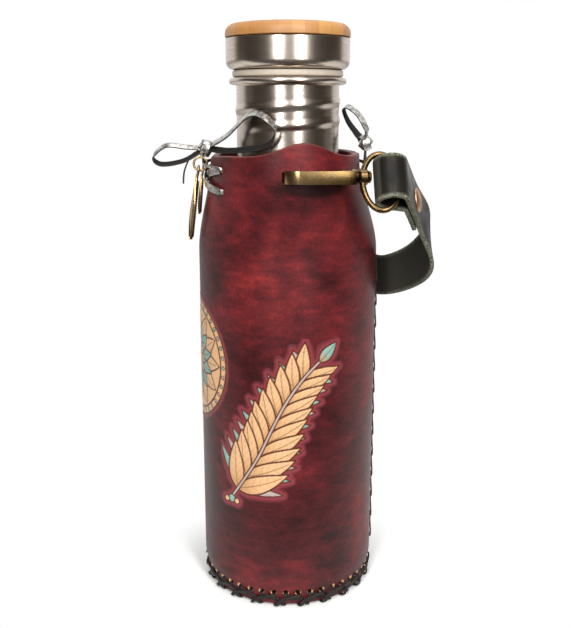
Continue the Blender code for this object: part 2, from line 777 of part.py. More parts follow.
def make_seam_lace():
    """The lace that closes the back seam: slanting strands outside, level runs inside."""
    off = GAP + LACE_THICKNESS / 2.0
    up = Vector((0.0, 0.0, 1.0))
    start = seam_angle(-1.0)
    end = seam_angle(1.0)
    centres = []
    widths = []
    across = []
    for row in range(seam_rows()):
        low = seam_height(row)
        inside = wall_inside(start, low) - off
        centres += [polar(end, inside, low), polar(start, inside, low)]
        widths += [LACE_NECK, LACE_NECK]
        across += [up, up]
        if row == seam_rows() - 1:
            continue
        rise = seam_height(row + 1) - low
        slant = up - tangent_at(polar(math.pi, CASE_RADIUS, low)) * rise / (2.0 * SEAM_HALF_WIDTH)
        centres += [wall_point(start, low, off), wall_point(math.pi, low + rise / 2.0, off + LACE_LIFT),
                    wall_point(end, low + rise, off)]
        widths += [LACE_NECK, LACE_WIDTH, LACE_NECK]
        across += [up, slant, up]
    bm = bmesh.new()
    add_ribbon(bm, centres, across, widths, LACE_THICKNESS)
    return finish(bm, "back_seam_lace", lace_leather(), smooth=False)


def knot_touch(knot, toward):
    """The point a gap outside a knot, in the direction of another point."""
    way = toward - knot
    reach = 1.0 / math.sqrt(sum((value / half) ** 2 for value, half in zip(way, KNOT_HALF)))
    return knot + way * reach + way.normalized() * GAP


def mouth_strand(middle, reach, layer, knot):
    """Half of the crossed lacing: from the knot to a top hole, then across to the far low hole."""
    low, high = MOUTH_HOLE_HEIGHTS
    off = GAP + LACE_THICKNESS / 2.0
    lift = off + layer * (LACE_THICKNESS + GAP) + LACE_LIFT
    lead = off + LEAD_LIFT
    side = math.copysign(KNOT_LEAD_SPACING, reach) / CASE_RADIUS
    up = Vector((0.0, 0.0, 1.0))
    aside = tangent_at(knot)
    below = wall_point(middle + side, LEAD_HEIGHT, lead)
    below.z = (knot.z + LEAD_HEIGHT) / 2.0
    points = [knot_touch(knot, below), below]
    across = [aside, (aside - up * math.copysign(1.0, reach)).normalized()]
    for step in range(1, LACE_STEPS // 2):
        points.append(wall_point(middle + reach * 2.0 * step / LACE_STEPS, LEAD_HEIGHT, lead))
        across.append(up)
    widths = [LACE_NECK] * len(points)
    points.append(wall_point(middle + reach, high, lift))
    widths.append(LACE_NECK)
    for step in range(1, LACE_STEPS):
        share = step / LACE_STEPS
        points.append(wall_point(middle + reach - 2.0 * reach * share, high + (low - high) * share, lift))
        widths.append(LACE_WIDTH)
    points.append(wall_point(middle - reach, low, off))
    points.append(wall_point(middle - reach, low, -LEATHER - off))
    widths += [LACE_NECK, LACE_NECK]
    across += [up] * (len(points) - len(across))
    if across[0].dot(up) > 0.0 or across[1].dot(up) < 0.0:
        across[0] = -across[0]
        across[1] = -across[1]
    return points, widths, across


def make_mouth_lacing(name, middle, reach, knot):
    """The crossed lace that draws a slit together; both its ends come out of the knot."""
    low = MOUTH_HOLE_HEIGHTS[0]
    off = GAP + LACE_THICKNESS / 2.0
    first, first_widths, first_across = mouth_strand(middle, reach, 0.0, knot)
    second, second_widths, second_across = mouth_strand(middle, -reach, 1.0, knot)
    behind = []
    for step in range(1, LACE_STEPS):
        angle = middle - reach + 2.0 * reach * step / LACE_STEPS
        behind.append(wall_point(angle, low, -LEATHER - off - LACE_LIFT))
    centres = first + behind + second[::-1]
    widths = first_widths + [LACE_NECK] * len(behind) + second_widths[::-1]
    across = first_across + [Vector((0.0, 0.0, 1.0))] * len(behind) + second_across[::-1]
    bm = bmesh.new()
    add_ribbon(bm, centres, across, widths, LACE_THICKNESS)
    return finish(bm, name, lace_leather(), smooth=False)


def loop_normal(points):
    """The direction square to the plane of a loop."""
    total = Vector()
    for first, second in zip(points, points[1:]):
        total += (first - points[0]).cross(second - points[0])
    return total.normalized()


def make_bow_piece(name, knot, route, count, across=None, returns=True):
    """A loop or a tail of lace, along points set out from its knot."""
    corner = Vector((0.0, knot.y, RIM_HEIGHT))
    middle = [corner + Vector(point) for point in route]
    ends = [knot_touch(knot, middle[-1])] if returns else []
    points = even_points([knot_touch(knot, middle[0])] + middle + ends, count)
    side = across if across is not None else loop_normal(points)
    bm = bmesh.new()
    add_ribbon(bm, points, [side] * count, [BOW_WIDTH] * count, LACE_THICKNESS)
    return finish(bm, name, lace_leather())


def make_knot(name, centre):
    """The knot of a bow: a small rounded lump of lace."""
    bm = bmesh.new()
    bmesh.ops.create_icosphere(bm, subdivisions=2, radius=1.0)
    for vert in bm.verts:
        vert.co = Vector([value * half for value, half in zip(vert.co, KNOT_HALF)]) + centre
    return finish(bm, name, lace_leather())


# The hooks and swivels

def hook_frame(side):
    """The near hook lies level; the far one is its mirror, hanging down and back about its heel."""
    lift = Matrix.Translation((0.0, 0.0, HOOK_HEIGHT))
    if side == "near":
        return lift
    heel = Matrix.Translation((0.0, HOOK_PIVOT_Y, 0.0))
    tilt = heel @ Matrix.Rotation(FAR_HOOK_TILT, 4, 'X') @ heel.inverted()
    mirror = Matrix.Scale(-1.0, 4, (1.0, 0.0, 0.0))
    return lift @ tilt @ mirror


def ring_frame(side):
    """The swivel ring's frame: the hook's, turned about the swivel."""
    stem = Matrix.Translation((SWIVEL_X, 0.0, 0.0))
    return hook_frame(side) @ stem @ Matrix.Rotation(RING_TILT, 4, 'Y') @ stem.inverted()


def swivel_line(frame, y):
    """A frame whose Z runs along the swivel's axis, at a distance along the hook."""
    return frame @ Matrix.Translation((SWIVEL_X, y, 0.0)) @ Matrix.Rotation(-math.pi / 2.0, 4, 'X')


def box_outline(low_x, low_y, high_x, high_y):
    return ((low_x, low_y), (high_x, low_y), (high_x, high_y), (low_x, high_y))


def slot_cutters():
    """The slots that each hook's nose and gate pass through, cut in the ears."""
    bm = bmesh.new()
    for side in ("near", "far"):
        frame = hook_frame(side)
        nose = box_outline(SLOT_INSIDE, NOSE_SLOT_START, SLOT_OUTSIDE, NOSE_SLOT_END)
        add_prism(bm, nose, -NOSE_SLOT_HALF, NOSE_SLOT_HALF, frame)
        end = GATE_SLOT_END if side == "near" else FAR_SLOT_END
        half = GATE_SLOT_HALF if side == "near" else FAR_SLOT_HALF
        add_prism(bm, box_outline(SLOT_INSIDE, GATE_SLOT_START, SLOT_OUTSIDE, end), -half, half, frame)
    return join_cutters(bm, "slots")


def hook_outline():
    """The hook in plan: spine, round heel, nose and the block that carries the gate."""
    outer_radius = HOOK_ARC_RADIUS
    inner_radius = HOOK_ARC_RADIUS - HOOK_BAR
    heel = HOOK_ARC_Y - outer_radius
    nose_turn = -math.degrees(math.acos((HOOK_NOSE_OUTSIDE - HOOK_ARC_X) / inner_radius))
    points = [(HOOK_OUTSIDE, HOOK_BLOCK_END)]
    points += arc(HOOK_ARC_X, HOOK_ARC_Y, outer_radius, 0.0, -90.0, 8)
    points += arc(HOOK_ARC_X, heel + HOOK_NOSE_CORNER, HOOK_NOSE_CORNER, -90.0, -180.0, 3)[1:]
    points += [(HOOK_NOSE_INSIDE, HOOK_NOSE_TIP), (HOOK_NOSE_OUTSIDE, HOOK_NOSE_TIP)]
    points += arc(HOOK_ARC_X, HOOK_ARC_Y, inner_radius, nose_turn, 0.0, 7)
    points += [(HOOK_SPINE, HOOK_BLOCK_START), (HOOK_BLOCK_INSIDE, HOOK_BLOCK_START),
               (HOOK_BLOCK_INSIDE, HOOK_BLOCK_END)]
    return points


def make_hook(side):
    frame = hook_frame(side)
    half = HOOK_THICKNESS / 2.0
    bm = bmesh.new()
    add_prism(bm, hook_outline(), -half, half, frame)
    hook = finish(bm, side + "_hook", brass())
    stem = bmesh.new()
    neck = COLLAR_LENGTH + BOSS_LENGTH + 2.0 * RUNNING_GAP
    profile = ((0.0, -OVERRUN), (COLLAR_RADIUS, -OVERRUN), (COLLAR_RADIUS, COLLAR_LENGTH),
               (STEM_RADIUS, COLLAR_LENGTH), (STEM_RADIUS, neck), (STEM_HEAD_RADIUS, neck),
               (STEM_HEAD_RADIUS, neck + STEM_HEAD_LENGTH), (0.0, neck + STEM_HEAD_LENGTH))
    add_turned(stem, profile, SWIVEL_SIDES, swivel_line(frame, HOOK_BLOCK_END))
    apply_boolean(hook, finish(stem, side + "_stem", brass()), 'UNION')
    fork = bmesh.new()
    add_prism(fork, box_outline(HOOK_BLOCK_INSIDE - OVERRUN, FORK_START, FORK_OUTSIDE, FORK_END),
              -FORK_HALF, FORK_HALF, frame)
    apply_boolean(hook, join_cutters(fork, "fork"), 'DIFFERENCE')
    bore = bmesh.new()
    add_prism(bore, arc(GATE_PIN_X, GATE_PIN_Y, GATE_PIN_RADIUS + GAP, 0.0, 360.0, PIN_SIDES)[:-1],
              -HOOK_THICKNESS, HOOK_THICKNESS, frame)
    return apply_boolean(hook, join_cutters(bore, "bore"), 'DIFFERENCE')


def make_gate(side):
    """The sprung gate, turning on its pin; its origin is on the pin."""
    frame = hook_frame(side)
    inside = HOOK_NOSE_INSIDE
    outline = [(inside, GATE_TIP), (HOOK_NOSE_OUTSIDE, GATE_TIP), (HOOK_NOSE_OUTSIDE, GATE_KNUCKLE_START),
               (GATE_KNUCKLE_OUTSIDE, GATE_KNUCKLE_START + HOOK_NOSE_CORNER),
               (GATE_KNUCKLE_OUTSIDE, GATE_KNUCKLE_END), (inside, GATE_KNUCKLE_END)]
    bm = bmesh.new()
    add_prism(bm, outline, -GATE_HALF, GATE_HALF, frame)
    gate = finish(bm, side + "_hook_gate", brass(), frame @ Vector((GATE_PIN_X, GATE_PIN_Y, 0.0)))
    bore = bmesh.new()
    add_prism(bore, arc(GATE_PIN_X, GATE_PIN_Y, GATE_PIN_RADIUS + GAP, 0.0, 360.0, PIN_SIDES)[:-1],
              -HOOK_THICKNESS, HOOK_THICKNESS, frame)
    return apply_boolean(gate, join_cutters(bore, "bore"), 'DIFFERENCE')


def make_gate_pin(side):
    bm = bmesh.new()
    half = HOOK_THICKNESS / 2.0
    outline = arc(GATE_PIN_X, GATE_PIN_Y, GATE_PIN_RADIUS, 0.0, 360.0, PIN_SIDES)[:-1]
    add_prism(bm, outline, -half, half, hook_frame(side))
    return finish(bm, side + "_gate_pin", brass())


def make_ring(side):
    """The oval ring and the boss that turns on the hook's stem; its origin is on the swivel."""
    frame = ring_frame(side)
    start = HOOK_BLOCK_END + COLLAR_LENGTH + RUNNING_GAP
    bm = bmesh.new()
    centres = []
    for step in range(RING_STEPS):
        turn = 2.0 * math.pi * step / RING_STEPS
        point = Vector((SWIVEL_X, RING_CENTRE_Y + RING_HALF_LENGTH * math.cos(turn),
                        RING_HALF_HEIGHT * math.sin(turn) - RING_DROP))
        centres.append(frame @ point)
    normal = (frame.to_3x3() @ Vector((1.0, 0.0, 0.0))).normalized()
    add_tube(bm, centres, RING_WIRE, RING_SIDES, closed=True, up=normal)
    ring = finish(bm, side + "_swivel_ring", brass(), frame @ Vector((SWIVEL_X, start, 0.0)))
    boss = bmesh.new()
    add_turned(boss, ((0.0, 0.0), (BOSS_RADIUS, 0.0), (BOSS_RADIUS, BOSS_LENGTH), (0.0, BOSS_LENGTH)),
               SWIVEL_SIDES, swivel_line(frame, start))
    apply_boolean(ring, finish(boss, side + "_boss", brass()), 'UNION')
    bore = bmesh.new()
    radius = STEM_RADIUS + RUNNING_GAP
    span = BOSS_LENGTH + OVERRUN
    add_turned(bore, ((0.0, -OVERRUN), (radius, -OVERRUN), (radius, span), (0.0, span)), SWIVEL_SIDES,
               swivel_line(frame, start))
    return apply_boolean(ring, join_cutters(bore, "bore"), 'DIFFERENCE')


# The handle strap

def roll_centre(side):
    return SWIVEL_X + (FAR_ROLL_OUT if side == "far" else 0.0), ROLL_CENTRE_Y


def roll_end(side):
    return NEAR_ROLL_END if side == "near" else FAR_ROLL_END


def roll_points(side):
    """Centre points of the roll round a ring, from the folded end's side to the main run."""
    frame = ring_frame(side)
    middle_x, middle_y = roll_centre(side)
    points = arc(middle_x, middle_y, ROLL_RADIUS, ROLL_START, roll_end(side), ROLL_STEPS)
    return [frame @ Vector((x, y, -RING_DROP)) for x, y in points]


def lap_points(side):
    """Two points of the straight stretch that leaves a roll."""
    turn = math.radians(roll_end(side))
    heading = ring_frame(side).to_3x3() @ Vector((-math.sin(turn), math.cos(turn), 0.0))
    start = roll_points(side)[-1]
    return [start + heading * (LAP_LENGTHS[side] * share) for share in LAP_SHARES]


def strap_lines():
    """The main run between the rolls: its points and the direction of its width at each."""
    up = Vector((0.0, 0.0, 1.0))
    upright = {side: (ring_frame(side).to_3x3() @ up).normalized() for side in ("near", "far")}
    near = [roll_points("near")[-1]] + lap_points("near")
    far = [roll_points("far")[-1]] + lap_points("far")
    middle = [Vector((SWIVEL_X * share, CASE_RADIUS + out, RIM_HEIGHT - drop))
              for share, out, drop in zip(STRAP_X_SHARES, STRAP_OUT, STRAP_DROP)]
    lean = [Vector(shares) for shares in STRAP_ACROSS_SHARES]
    route = near + middle + far[::-1]
    across = [upright["near"]] * len(near) + lean + [upright["far"]] * len(far)
    points = even_points(route, RUN_POINTS)
    lengths = [0.0]
    for first, second in zip(route, route[1:]):
        lengths.append(lengths[-1] + (second - first).length)
    sides = []
    for step in range(RUN_POINTS):
        wanted = lengths[-1] * step / (RUN_POINTS - 1)
        index = 0
        while index < len(route) - 2 and lengths[index + 1] < wanted:
            index += 1
        part = (wanted - lengths[index]) / (lengths[index + 1] - lengths[index])
        sides.append(across[index].lerp(across[index + 1], min(max(part, 0.0), 1.0)).normalized())
    return points, sides


def strap_face(points, sides, index):
    """The direction square to the strap's outer face at a point of its run."""
    along = (points[min(index + 1, len(points) - 1)] - points[max(index - 1, 0)]).normalized()
    face = along.cross(sides[index]).normalized()
    middle = Vector((points[index].x, points[index].y, 0.0))
    return face if face.dot(middle) > 0.0 else -face


def run_index(points, distance):
    """The run's point nearest to a distance from its start."""
    step = (points[1] - points[0]).length
    return max(1, round(distance / step))


def make_strap():
    points, sides = strap_lines()
    count = len(points)
    inset = STRAP_THICKNESS + GAP
    first = run_index(points, LAP_START)
    near_steps = range(run_index(points, LAP_LENGTHS["near"]), first - 1, -1)
    far_steps = range(count - 1 - first, count - 2 - run_index(points, LAP_LENGTHS["far"]), -1)
    near_lap = [points[index] - strap_face(points, sides, index) * inset for index in near_steps]
    near_lap_sides = [sides[index] for index in near_steps]
    far_lap = [points[index] - strap_face(points, sides, index) * inset for index in far_steps]
    far_lap_sides = [sides[index] for index in far_steps]
    near_roll = roll_points("near")[:-1]
    far_roll = roll_points("far")[:-1][::-1]
    centres = near_lap + near_roll + points + far_roll + far_lap
    across = (near_lap_sides + [sides[0]] * len(near_roll) + sides + [sides[-1]] * len(far_roll)
              + far_lap_sides)
    bm = bmesh.new()
    add_ribbon(bm, centres, across, [STRAP_WIDTH] * len(centres), STRAP_THICKNESS)
    strap = finish(bm, "handle_strap", black_leather())
    for side in ("near", "far"):
        bore = bmesh.new()
        radius = RIVET_SHANK_RADIUS + GAP
        reach = LACE_WIDTH * 2.0
        add_turned(bore, ((0.0, -reach), (radius, -reach), (radius, reach), (0.0, reach)), RIVET_SIDES,
                   rivet_frame(side))
        apply_boolean(strap, join_cutters(bore, "bore"), 'DIFFERENCE')
    return strap


def rivet_frame(side):
    """A frame whose Z runs out of the strap's outer face at a rivet."""
    points, sides = strap_lines()
    index = run_index(points, RIVET_PLACES[side])
    if side == "far":
        index = len(points) - 1 - index
    return axis_frame(points[index], strap_face(points, sides, index))


def make_rivet(side):
    """A set rivet: a flat head on each face of the two layers and a shank between."""
    top = STRAP_THICKNESS / 2.0 + RIVET_SEAT
    bottom = -STRAP_THICKNESS * 1.5 - GAP - RIVET_SEAT
    profile = ((0.0, bottom - RIVET_HEAD_THICKNESS), (RIVET_HEAD_RADIUS, bottom - RIVET_HEAD_THICKNESS),
               (RIVET_HEAD_RADIUS, bottom), (RIVET_SHANK_RADIUS, bottom), (RIVET_SHANK_RADIUS, top),
               (RIVET_HEAD_RADIUS, top), (RIVET_HEAD_RADIUS, top + RIVET_HEAD_THICKNESS),
               (0.0, top + RIVET_HEAD_THICKNESS))
    bm = bmesh.new()
    add_turned(bm, profile, RIVET_SIDES, rivet_frame(side))
    return finish(bm, side + "_rivet", material("copper", COPPER, 0.4, 1.0))


# The charms

def make_jump_ring():
    centre = JUMP_CENTRE
    points = []
    for step in range(JUMP_STEPS):
        turn = 2.0 * math.pi * step / JUMP_STEPS
        points.append(centre + Vector((0.0, JUMP_RADIUS * math.cos(turn), JUMP_RADIUS * math.sin(turn))))
    bm = bmesh.new()
    add_tube(bm, points, JUMP_WIRE, JUMP_SIDES, closed=True, up=Vector((1.0, 0.0, 0.0)))
    return finish(bm, "charm_jump_ring", brass())


def charm_frame(spread, lean):
    """X across the charm, Y up its length, Z through it, from the foot of the jump ring."""
    foot = JUMP_CENTRE + Vector((0.0, spread, -JUMP_RADIUS))
    return Matrix.Translation(foot) @ Matrix.Rotation(math.pi / 2.0 - lean, 4, 'X')


def make_charm(name, spread, lean, length, width, thickness):
    """A flat leaf-shaped charm with an eye at its top; its origin is in the eye."""
    frame = charm_frame(spread, lean)
    low = -length
    shoulder = -CHARM_EYE_RADIUS - width / 2.0
    outline = arc(0.0, 0.0, CHARM_EYE_RADIUS, -40.0, 220.0, 10)
    outline += [(-width / 2.0, shoulder), (-width / 2.0, low + width), (-width / 4.0, low + width / 4.0),
                (0.0, low), (width / 4.0, low + width / 4.0), (width / 2.0, low + width),
                (width / 2.0, shoulder)]
    bm = bmesh.new()
    add_prism(bm, outline, -thickness / 2.0, thickness / 2.0, frame)
    charm = finish(bm, name, brass(), frame @ Vector())
    bore = bmesh.new()
    add_prism(bore, arc(0.0, 0.0, CHARM_EYE_HOLE, 0.0, 360.0, PIN_SIDES)[:-1], -OVERRUN, OVERRUN, frame)
    return apply_boolean(charm, join_cutters(bore, "bore"), 'DIFFERENCE')


# The bottle and its lid

def bottle_profile():
    """Outside up to the rolled rim, then the inside back down to the middle of the floor."""
    foot = CASE_FOOT + GAP
    wall = BOTTLE_WALL
    inner = BOTTLE_RADIUS - wall
    outside = [(0.0, foot)]
    outside += arc(BOTTLE_RADIUS - BOTTLE_CORNER, foot + BOTTLE_CORNER, BOTTLE_CORNER, -90.0, 0.0, 4)
    shoulder = []
    for step in range(SHOULDER_STEPS + 1):
        share = step / SHOULDER_STEPS
        radius = BOTTLE_RADIUS + (NECK_RADIUS - BOTTLE_RADIUS) * smoothstep(share)
        shoulder.append((radius, SHOULDER_FOOT + (SHOULDER_TOP - SHOULDER_FOOT) * share))
    bead = RIM_RADIUS - NECK_RADIUS
    outside += shoulder + [(NECK_RADIUS, RIM_FOOT), (RIM_RADIUS - bead / 3.0, RIM_FOOT),
                           (RIM_RADIUS, RIM_FOOT + bead / 3.0), (RIM_RADIUS, RIM_TOP - bead / 4.0),
                           (RIM_RADIUS - bead / 4.0, RIM_TOP)]
    inside = [(NECK_RADIUS - wall, RIM_TOP)]
    inside += [(radius - wall, height) for radius, height in shoulder[::-1]]
    corner = BOTTLE_CORNER - wall
    inside += arc(inner - corner, foot + BOTTLE_CORNER, corner, 0.0, -90.0, 4)
    inside += [(0.0, foot + wall)]
    return outside + inside


def make_bottle():
    bm = bmesh.new()
    add_turned(bm, bottle_profile(), TURNED_SIDES)
    bottle = finish(bm, "bottle", steel())
    thread = bmesh.new()
    steps = int(THREAD_TURNS * TURNED_SIDES)
    rings = []
    for step in range(steps + 1):
        turn = 2.0 * math.pi * step / TURNED_SIDES
        height = THREAD_FOOT + THREAD_PITCH * step / TURNED_SIDES
        fade = min(step, steps - step) / BEAD_FADE_STEPS
        proud = THREAD_PROUD * min(fade, 1.0) + GAP
        rooted = NECK_RADIUS - BOTTLE_WALL / 2.0
        section = ((rooted, -THREAD_WIDTH / 2.0), (NECK_RADIUS + proud, -THREAD_WIDTH / 4.0),
                   (NECK_RADIUS + proud, THREAD_WIDTH / 4.0), (rooted, THREAD_WIDTH / 2.0))
        rings.append([thread.verts.new((radius * math.cos(turn), radius * math.sin(turn), height + rise))
                      for radius, rise in section])
    for first, second in zip(rings, rings[1:]):
        for corner in range(4):
            after = (corner + 1) % 4
            thread.faces.new((first[corner], first[after], second[after], second[corner]))
    thread.faces.new(rings[0][::-1])
    thread.faces.new(rings[-1])
    return apply_boolean(bottle, finish(thread, "thread", steel()), 'UNION')


def make_lid():
    """The lid from below: seal, plug, steel shell and bamboo top."""
    seal_foot = RIM_TOP + GAP
    bm = bmesh.new()
    hole = PLUG_RADIUS + PLUG_RIDGE
    seal_top = seal_foot + SEAL_THICKNESS
    add_turned(bm, ((hole, seal_foot), (SEAL_RADIUS, seal_foot), (SEAL_RADIUS, seal_top), (hole, seal_top)),
               TURNED_SIDES)
    finish(bm, "lid_seal", material("silicone", SILICONE, 0.6))

    shell_foot = seal_top + GAP
    top = shell_foot + LID_HEIGHT
    bm = bmesh.new()
    inner = LID_RADIUS - LID_WALL
    lip = LID_RADIUS - LID_CORNER
    bend = inner - LID_CORNER + LID_WALL
    profile = [(bend, shell_foot)]
    profile += arc(lip, shell_foot + LID_CORNER, LID_CORNER, -90.0, 0.0, 4)
    profile += [(LID_RADIUS, top), (0.0, top), (0.0, top - LID_WALL), (inner, top - LID_WALL)]
    profile += arc(bend, shell_foot + LID_CORNER, LID_CORNER - LID_WALL, 0.0, -60.0, 3)
    add_turned(bm, profile, TURNED_SIDES)
    finish(bm, "lid_shell", steel())

    head = top - LID_WALL - GAP
    stem_foot = seal_foot - PLUG_DEPTH
    wide = inner - GAP
    bm = bmesh.new()
    hollow = PLUG_RADIUS - PLUG_WALL
    profile = [(PLUG_RADIUS, stem_foot), (PLUG_RADIUS, seal_top + GAP), (bend - GAP, seal_top + GAP),
               (wide, shell_foot + LID_CORNER), (wide, head),
               (0.0, head), (0.0, head - PLUG_WALL), (hollow, head - PLUG_WALL), (hollow, stem_foot)]
    add_turned(bm, profile, TURNED_SIDES)
    finish(bm, "lid_plug", material("plastic", PLASTIC, 0.5))

    foot = top + GAP
    crown = foot + BAMBOO_THICKNESS
    bm = bmesh.new()
    profile = [(0.0, foot), (BAMBOO_RADIUS, foot)]
    profile += arc(BAMBOO_RADIUS - BAMBOO_CORNER, crown - BAMBOO_CORNER, BAMBOO_CORNER, 0.0, 90.0, 5)
    profile += [(0.0, crown)]
    add_turned(bm, profile, TURNED_SIDES)
    finish(bm, "lid_bamboo_top", material("bamboo", BAMBOO, 0.5))


def main():
    clear_scene()
    make_case_body()
    make_flaps("front_flaps", 0.0, EAR_FRONT_ANGLE - GAP / CASE_RADIUS, FRONT_SLIT_FOOT,
               front_hole_places())
    make_flaps("back_flaps", math.pi, math.pi - EAR_BACK_ANGLE - GAP / CASE_RADIUS, BACK_SLIT_FOOT,
               back_hole_places())
    make_base_disc()
    make_base_lace("base_lace_first", 0)
    make_base_lace("base_lace_second", 1)
    make_seam_lace()
    make_mouth_lacing("front_lacing", 0.0, FRONT_HOLE_ANGLE, FRONT_KNOT)
    make_mouth_lacing("back_lacing", math.pi, math.pi - BACK_HOLE_ANGLE, BACK_KNOT)
    make_knot("front_bow_knot", FRONT_KNOT)
    make_knot("back_bow_knot", BACK_KNOT)
    make_bow_piece("front_bow_near_loop", FRONT_KNOT, NEAR_LOOP_ROUTE, LOOP_POINTS)
    make_bow_piece("front_bow_far_loop", FRONT_KNOT, FAR_LOOP_ROUTE, LOOP_POINTS)
    make_bow_piece("front_bow_tail", FRONT_KNOT, FRONT_TAIL_ROUTE, TAIL_POINTS, Vector((1.0, 0.0, 0.0)),
                   False)
    make_bow_piece("back_bow_loop", BACK_KNOT, BACK_LOOP_ROUTE, LOOP_POINTS)
    for side in ("near", "far"):
        make_hook(side)
        make_gate(side)
        make_gate_pin(side)
        make_ring(side)
        make_rivet(side)
    make_strap()
    make_jump_ring()
    make_charm("charm_pendant", -CHARM_SPREAD, PENDANT_LEAN, PENDANT_LENGTH, PENDANT_WIDTH, PENDANT_THICKNESS)
    make_charm("charm_small", CHARM_SPREAD, SMALL_LEAN, SMALL_LENGTH, SMALL_WIDTH, SMALL_THICKNESS)
    make_bottle()
    make_lid()


main()
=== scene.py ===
"""Looks of the laced leather bottle case: surfaces, fine shapes, lights and camera.

Metres, +Z up. The laced slit faces -Y, the back seam +Y, the near hook +X.
Angles round the case run from the front (-Y) towards +X.
"""

import math

import bmesh
import bpy
import numpy as np
from mathutils import Matrix, Vector


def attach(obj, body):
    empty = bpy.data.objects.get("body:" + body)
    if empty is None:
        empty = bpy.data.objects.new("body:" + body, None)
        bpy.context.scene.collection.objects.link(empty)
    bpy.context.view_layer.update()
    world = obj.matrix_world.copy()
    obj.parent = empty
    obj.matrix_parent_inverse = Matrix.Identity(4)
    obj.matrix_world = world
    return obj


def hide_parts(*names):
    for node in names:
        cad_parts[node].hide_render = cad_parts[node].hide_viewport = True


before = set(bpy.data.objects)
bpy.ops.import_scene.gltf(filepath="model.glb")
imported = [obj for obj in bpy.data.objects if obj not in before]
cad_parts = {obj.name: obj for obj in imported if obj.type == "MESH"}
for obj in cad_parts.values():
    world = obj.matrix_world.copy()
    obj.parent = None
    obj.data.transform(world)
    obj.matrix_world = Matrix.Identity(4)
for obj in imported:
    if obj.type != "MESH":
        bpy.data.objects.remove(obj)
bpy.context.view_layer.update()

AXIS_X = Vector((1.0, 0.0, 0.0))
AXIS_Y = Vector((0.0, 1.0, 0.0))
UP = Vector((0.0, 0.0, 1.0))

# Sizes shared with the part's source
GAP = 0.0003
LEATHER = 0.003
CASE_RADIUS = 0.040
CASE_FOOT = 0.0033
RIM_HEIGHT = 0.2013
EAR_RISE = 0.0058
EAR_ANGLE = math.radians(96.0)
EAR_SPREAD = math.radians(19.0)
FRONT_DIP = 0.0020
FRONT_DIP_SPREAD = math.radians(25.0)
MOUTH_START = 0.158
MOUTH_FULL = 0.200
SIDE_FLARE = 0.0037
FRONT_DRAW = 0.0060
BACK_DRAW = 0.0090
FOOT_DRAW = 0.0018
FOOT_DRAW_HEIGHT = 0.0125
FRONT_SLIT_FOOT = 0.1635
BACK_SLIT_FOOT = 0.1700
SLIT_FOOT_WIDTH = 0.0026
SLIT_TOP_WIDTH = 0.0100
SEAM_GAP = 0.0010
DISC_RADIUS = 0.038
DISC_THICKNESS = 0.0030
DISC_HOLE_RADIUS = 0.0335
REBATE = 0.0013
LACE_WIDTH = 0.0034
LACE_THICKNESS = 0.0007
LACE_NECK = 0.0014
LACE_LIFT = 0.0003
LACE_REST = 0.00005
LEAD_LIFT = 0.0027
LACE_STEPS = 10
HOLE_THROAT = 0.0012
BASE_HOLES = 44
BASE_HOLE_HEIGHT = 0.0073
EDGE_TURN_SHARE = 0.92
EXIT_DROP = 0.0005
SEAM_PITCH = 0.0105
SEAM_FOOT = 0.0180
SEAM_HALF_WIDTH = 0.0055
SEAM_SKIVE = 0.0014
SEAM_SKIVE_WIDTH = 0.0090
FRONT_HOLE_ANGLE = math.radians(43.0)
BACK_HOLE_ANGLE = math.radians(150.0)
MOUTH_HOLE_HEIGHTS = (0.1865, 0.1955)
LEAD_HEIGHT = 0.1966
BOW_WIDTH = 0.0034
KNOT_HALF = (0.0040, 0.0028, 0.0028)
KNOT_LEAD_SPACING = 0.0015
FRONT_KNOT = Vector((0.0, -0.0362, 0.2030))
BACK_KNOT = Vector((0.0, 0.0344, 0.2052))
NEAR_LOOP_ROUTE = ((0.0110, 0.0097, 0.0077), (0.0192, 0.0182, 0.0158), (0.0242, 0.0232, 0.0166),
                   (0.0292, 0.0282, 0.0127), (0.0302, 0.0294, 0.0087), (0.0272, 0.0262, 0.0042),
                   (0.0192, 0.0180, 0.0022), (0.0110, 0.0097, 0.0012))
FAR_LOOP_ROUTE = ((-0.0010, -0.0088, 0.0022), (-0.0005, -0.0173, 0.0029), (0.0, -0.0228, -0.0017),
                  (0.0012, -0.0196, -0.0050), (0.0026, -0.0100, -0.0036))
FRONT_TAIL_ROUTE = ((-0.0068, -0.0064, -0.0014), (-0.0064, -0.0098, -0.0080), (-0.0050, -0.0105, -0.0140))
BACK_LOOP_ROUTE = ((0.0020, 0.0001, 0.0098), (-0.0050, -0.0024, 0.0158), (-0.0130, -0.0064, 0.0194),
                   (-0.0200, -0.0074, 0.0178), (-0.0190, -0.0054, 0.0128), (-0.0120, -0.0024, 0.0078))
BOTTLE_RADIUS = 0.0365
BOTTLE_WALL = 0.0008
BOTTLE_CORNER = 0.0120
SHOULDER_FOOT = 0.158
SHOULDER_TOP = 0.201
NECK_RADIUS = 0.0224
RIM_FOOT = 0.230
RIM_TOP = 0.233
RIM_RADIUS = 0.0255
THREAD_PITCH = 0.0080
THREAD_WIDTH = 0.0034
THREAD_PROUD = 0.0009
THREAD_FOOT = 0.2120
THREAD_TURNS = 1.5
THREAD_START = math.radians(-60.0)
SEAL_THICKNESS = 0.0027
SEAL_RADIUS = 0.0240
LID_RADIUS = 0.0268
LID_HEIGHT = 0.0130
LID_CORNER = 0.0035
LID_WALL = 0.0010
PLUG_RADIUS = 0.0206
BAMBOO_RADIUS = 0.0270
BAMBOO_THICKNESS = 0.0055
BAMBOO_CORNER = 0.0040
HOOK_HEIGHT = 0.1937
HOOK_THICKNESS = 0.0053
HOOK_BAR = 0.0029
HOOK_SPINE = 0.0439
HOOK_OUTSIDE = 0.0468
HOOK_ARC_RADIUS = 0.0085
HOOK_ARC_X = 0.0383
HOOK_ARC_Y = 0.0033
HOOK_NOSE_INSIDE = 0.0369
